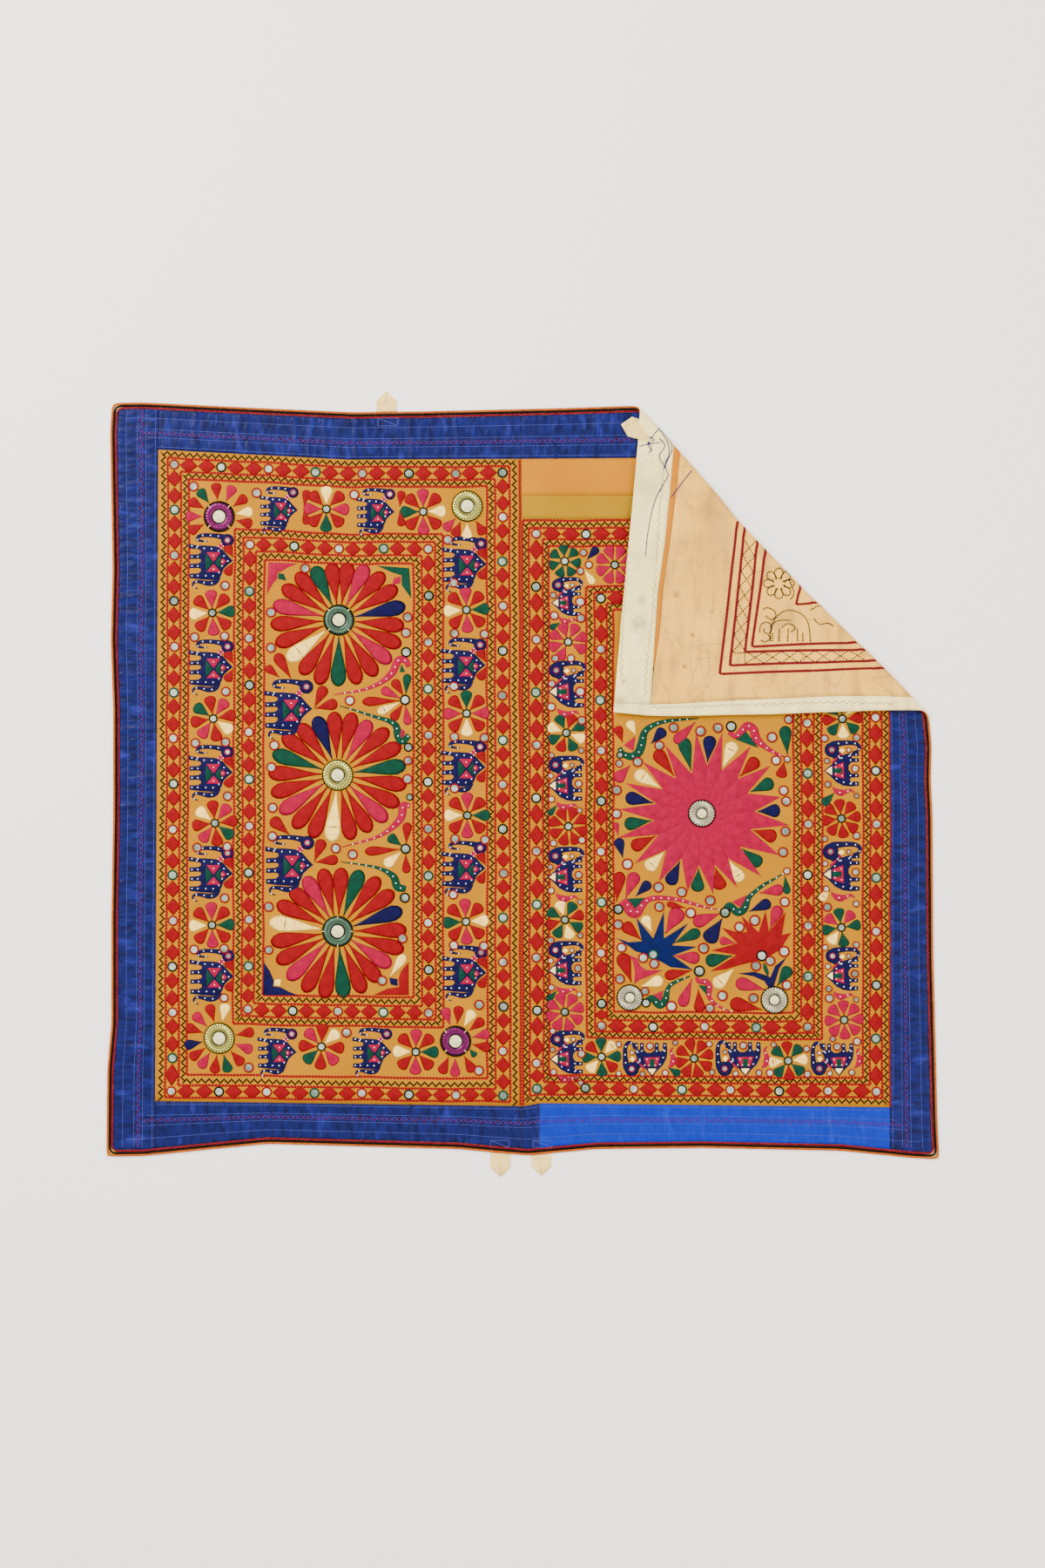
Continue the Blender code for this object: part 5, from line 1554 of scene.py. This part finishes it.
class HANGING_OT_machine_stitches(bpy.types.Operator):
    """Run the machine stitches on the satin"""

    bl_idname = "hanging.machine_stitches"
    bl_label = "Machine stitches"

    def execute(self, context):
        white, zigzag = [], {"red": [], "violet": []}
        for side, (start, end) in SATIN_ENDS.items():
            upright = SATIN_SIDES[side][2]
            for share in SATIN_LINES:
                inset = 0.0 if upright else share * BORDER_WIDTH
                x, y = border_line(share, side, start + inset, end - (inset if side == "bottom" else 0.0), 0.0036)
                rise = satin_rise(side, x[1:], y[1:])
                white.append(dashes(x, y, 0.0009, 0.0006, STACK + 0.0003 + rise))
            inset = 0.0 if upright else SATIN_ZIGZAG * BORDER_WIDTH
            for colour, phase in (("red", 1), ("violet", -1)):
                x, y = border_line(SATIN_ZIGZAG, side, start + inset, end - inset, 0.0085)
                swing = np.where(np.arange(len(x)) % 2 == 0, 1, -1) * phase * 0.0036
                x, y = (x + swing, y) if upright else (x, y + swing)
                rise = satin_rise(side, x[1:], y[1:])
                zigzag[colour].append(dashes(x, y, 0.0013, 0.0006, STACK + 0.0005 + rise, 1.0))
        for left, right, top, bottom in TAB_STITCHES:
            line = dots_along(in_metres(((left, top), (right, top), (right, bottom), (left, bottom), (left, top),
                                         (right, bottom))), 0.003)
            rise = satin_rise("top" if top < MIDDLE[1] else "bottom", line[1:, 0], line[1:, 1])
            white.append(dashes(line[:, 0], line[:, 1], 0.0012, 0.0007, STACK + 0.0002 + rise))
        add_piece("satin_seams_white", joined(white), silk_floss("cotton_thread_pale_blue", "#4E529B", "#3F428A"))
        for colour, parts in zigzag.items():
            add_piece(f"satin_zigzag_{colour}", joined(parts), thread(f"faded_{colour}"))
        return {"FINISHED"}


def back_stitches(line, pitch, width, height, cover=0.75, lean=0.0):
    """Small stitches on the back along a line of places on the flat cloth."""
    x, y = dots_along(line, pitch).T
    return dashes(x, y, width, height, back_relief(x[1:], y[1:]) - 0.0004, cover, -1, lean)


def zigzag_line(line, pitch, swing):
    """A line that swings from side to side of another."""
    line = dots_along(line, pitch)
    return line + sideways(line) * np.where(np.arange(len(line)) % 2 == 0, swing, -swing)[:, None]


class HANGING_OT_back_stitches(bpy.types.Operator):
    """Show the backs of the stitches on the folded corner, and its loose threads"""

    bl_idname = "hanging.back_stitches"
    bl_label = "Back of the stitches"

    def execute(self, context):
        lines = [(np.array(line) * MM, 0.0048) for line in BACK_LINES] + [(on_flap(BACK_INNER_LINE), 0.0044)]
        red = [back_stitches(line, 0.0046, wide, 0.0013, 1.6, 0.6) for line, wide in lines]
        middle = (np.array(BACK_LINES[1]) + np.array(BACK_LINES[2])) / 2 * MM
        dark = [back_stitches(zigzag_line(middle, 0.028, swing), 0.0046, 0.0021, 0.0008, 0.85)
                for swing in (0.0105, -0.0105)]
        outlines = []
        for k in range(8):
            cos, sin = math.cos(k * math.pi / 4), math.sin(k * math.pi / 4)
            outlines.append([(BACK_FLOWER[0] + u * cos - v * sin, BACK_FLOWER[1] + u * sin + v * cos)
                             for u, v in BACK_PETAL])
        dark += [back_stitches(smooth_line(on_flap(line), 4), 0.0040, 0.0027, 0.0008, 0.9)
                 for line in (*outlines, *BACK_OUTLINES)]
        fine = [back_stitches(zigzag_line(smooth_line(on_flap(line), 6), 0.0062, 0.0024), 0.0035, 0.0011, 0.0005, 0.9)
                for line in FACING_ZIGZAGS]
        blue = [back_stitches(smooth_line(on_flap(line), 8), 0.003, 0.0022, 0.0010, 1.15) for line in LOOSE_THREADS]
        for name, parts in (("red", red), ("black", dark), ("faded", fine), ("slate", blue)):
            add_piece(f"back_threads_{name}", joined(parts), silk_floss(f"cotton_thread_{name}", *BACK_THREADS[name]))
        return {"FINISHED"}


class HANGING_OT_stage(bpy.types.Operator):
    """Set the floor, the soft lights and the camera above"""

    bl_idname = "hanging.stage"
    bl_label = "Stage"

    def execute(self, context):
        mesh = bmesh.new()
        bmesh.ops.create_grid(mesh, x_segments=1, y_segments=1, size=6.0)
        data = bpy.data.meshes.new("floor")
        mesh.to_mesh(data)
        mesh.free()
        floor = bpy.data.objects.new("floor", data)
        data.materials.append(paper_floor())
        context.scene.collection.objects.link(floor)
        world = bpy.data.worlds.new("soft_room")
        world.use_nodes = True
        background = world.node_tree.nodes["Background"]
        background.inputs["Color"].default_value = (*settings().surround, 1.0)
        background.inputs["Strength"].default_value = 1.92
        context.scene.world = world
        for name, place, size, power in (("key", (-2.6, 2.4, 3.4), 2.6, settings().key_light),
                                         ("fill", (3.0, -1.5, 3.6), 3.2, settings().key_light * 0.35)):
            light = bpy.data.lights.new(f"soft_{name}", "AREA")
            light.shape = "DISK"
            light.size = size
            light.energy = power
            lamp = bpy.data.objects.new(f"soft_{name}", light)
            lamp.location = place
            lamp.rotation_euler = (-Vector(place)).to_track_quat("-Z", "Y").to_euler()
            context.scene.collection.objects.link(lamp)
        camera = bpy.data.cameras.new("camera")
        height = settings().camera
        camera.lens = 36.0 * height / (1800 * STEP)
        eye = bpy.data.objects.new("camera", camera)
        eye.location = (-0.5 * STEP, 0.5 * STEP, height)
        context.scene.collection.objects.link(eye)
        context.scene.camera = eye
        return {"FINISHED"}


class HANGING_PT_panel(bpy.types.Panel):
    """Settings and steps of the hanging"""

    bl_idname = "HANGING_PT_panel"
    bl_label = "Mirror-work hanging"
    bl_space_type = "VIEW_3D"
    bl_region_type = "UI"
    bl_category = "Hanging"

    def draw(self, context):
        for key in HangingSettings.__annotations__:
            self.layout.prop(context.scene.hanging, key)
        for operator in OPERATORS:
            self.layout.operator(operator.bl_idname)


OPERATORS = (HANGING_OT_stage, HANGING_OT_backs, HANGING_OT_panels, HANGING_OT_borders, HANGING_OT_piping,
             HANGING_OT_tabs, HANGING_OT_rosettes, HANGING_OT_rings, HANGING_OT_figures,
             HANGING_OT_machine_stitches, HANGING_OT_back_stitches)


def register():
    for item in (HangingSettings, *OPERATORS, HANGING_PT_panel):
        bpy.utils.register_class(item)
    bpy.types.Scene.hanging = PointerProperty(type=HangingSettings)


def unregister():
    del bpy.types.Scene.hanging
    for item in reversed((HangingSettings, *OPERATORS, HANGING_PT_panel)):
        bpy.utils.unregister_class(item)


def main():
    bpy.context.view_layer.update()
    register()
    for operator in OPERATORS:
        space, name = operator.bl_idname.split(".")
        getattr(getattr(bpy.ops, space), name)()


if __name__ == "__main__":
    main()
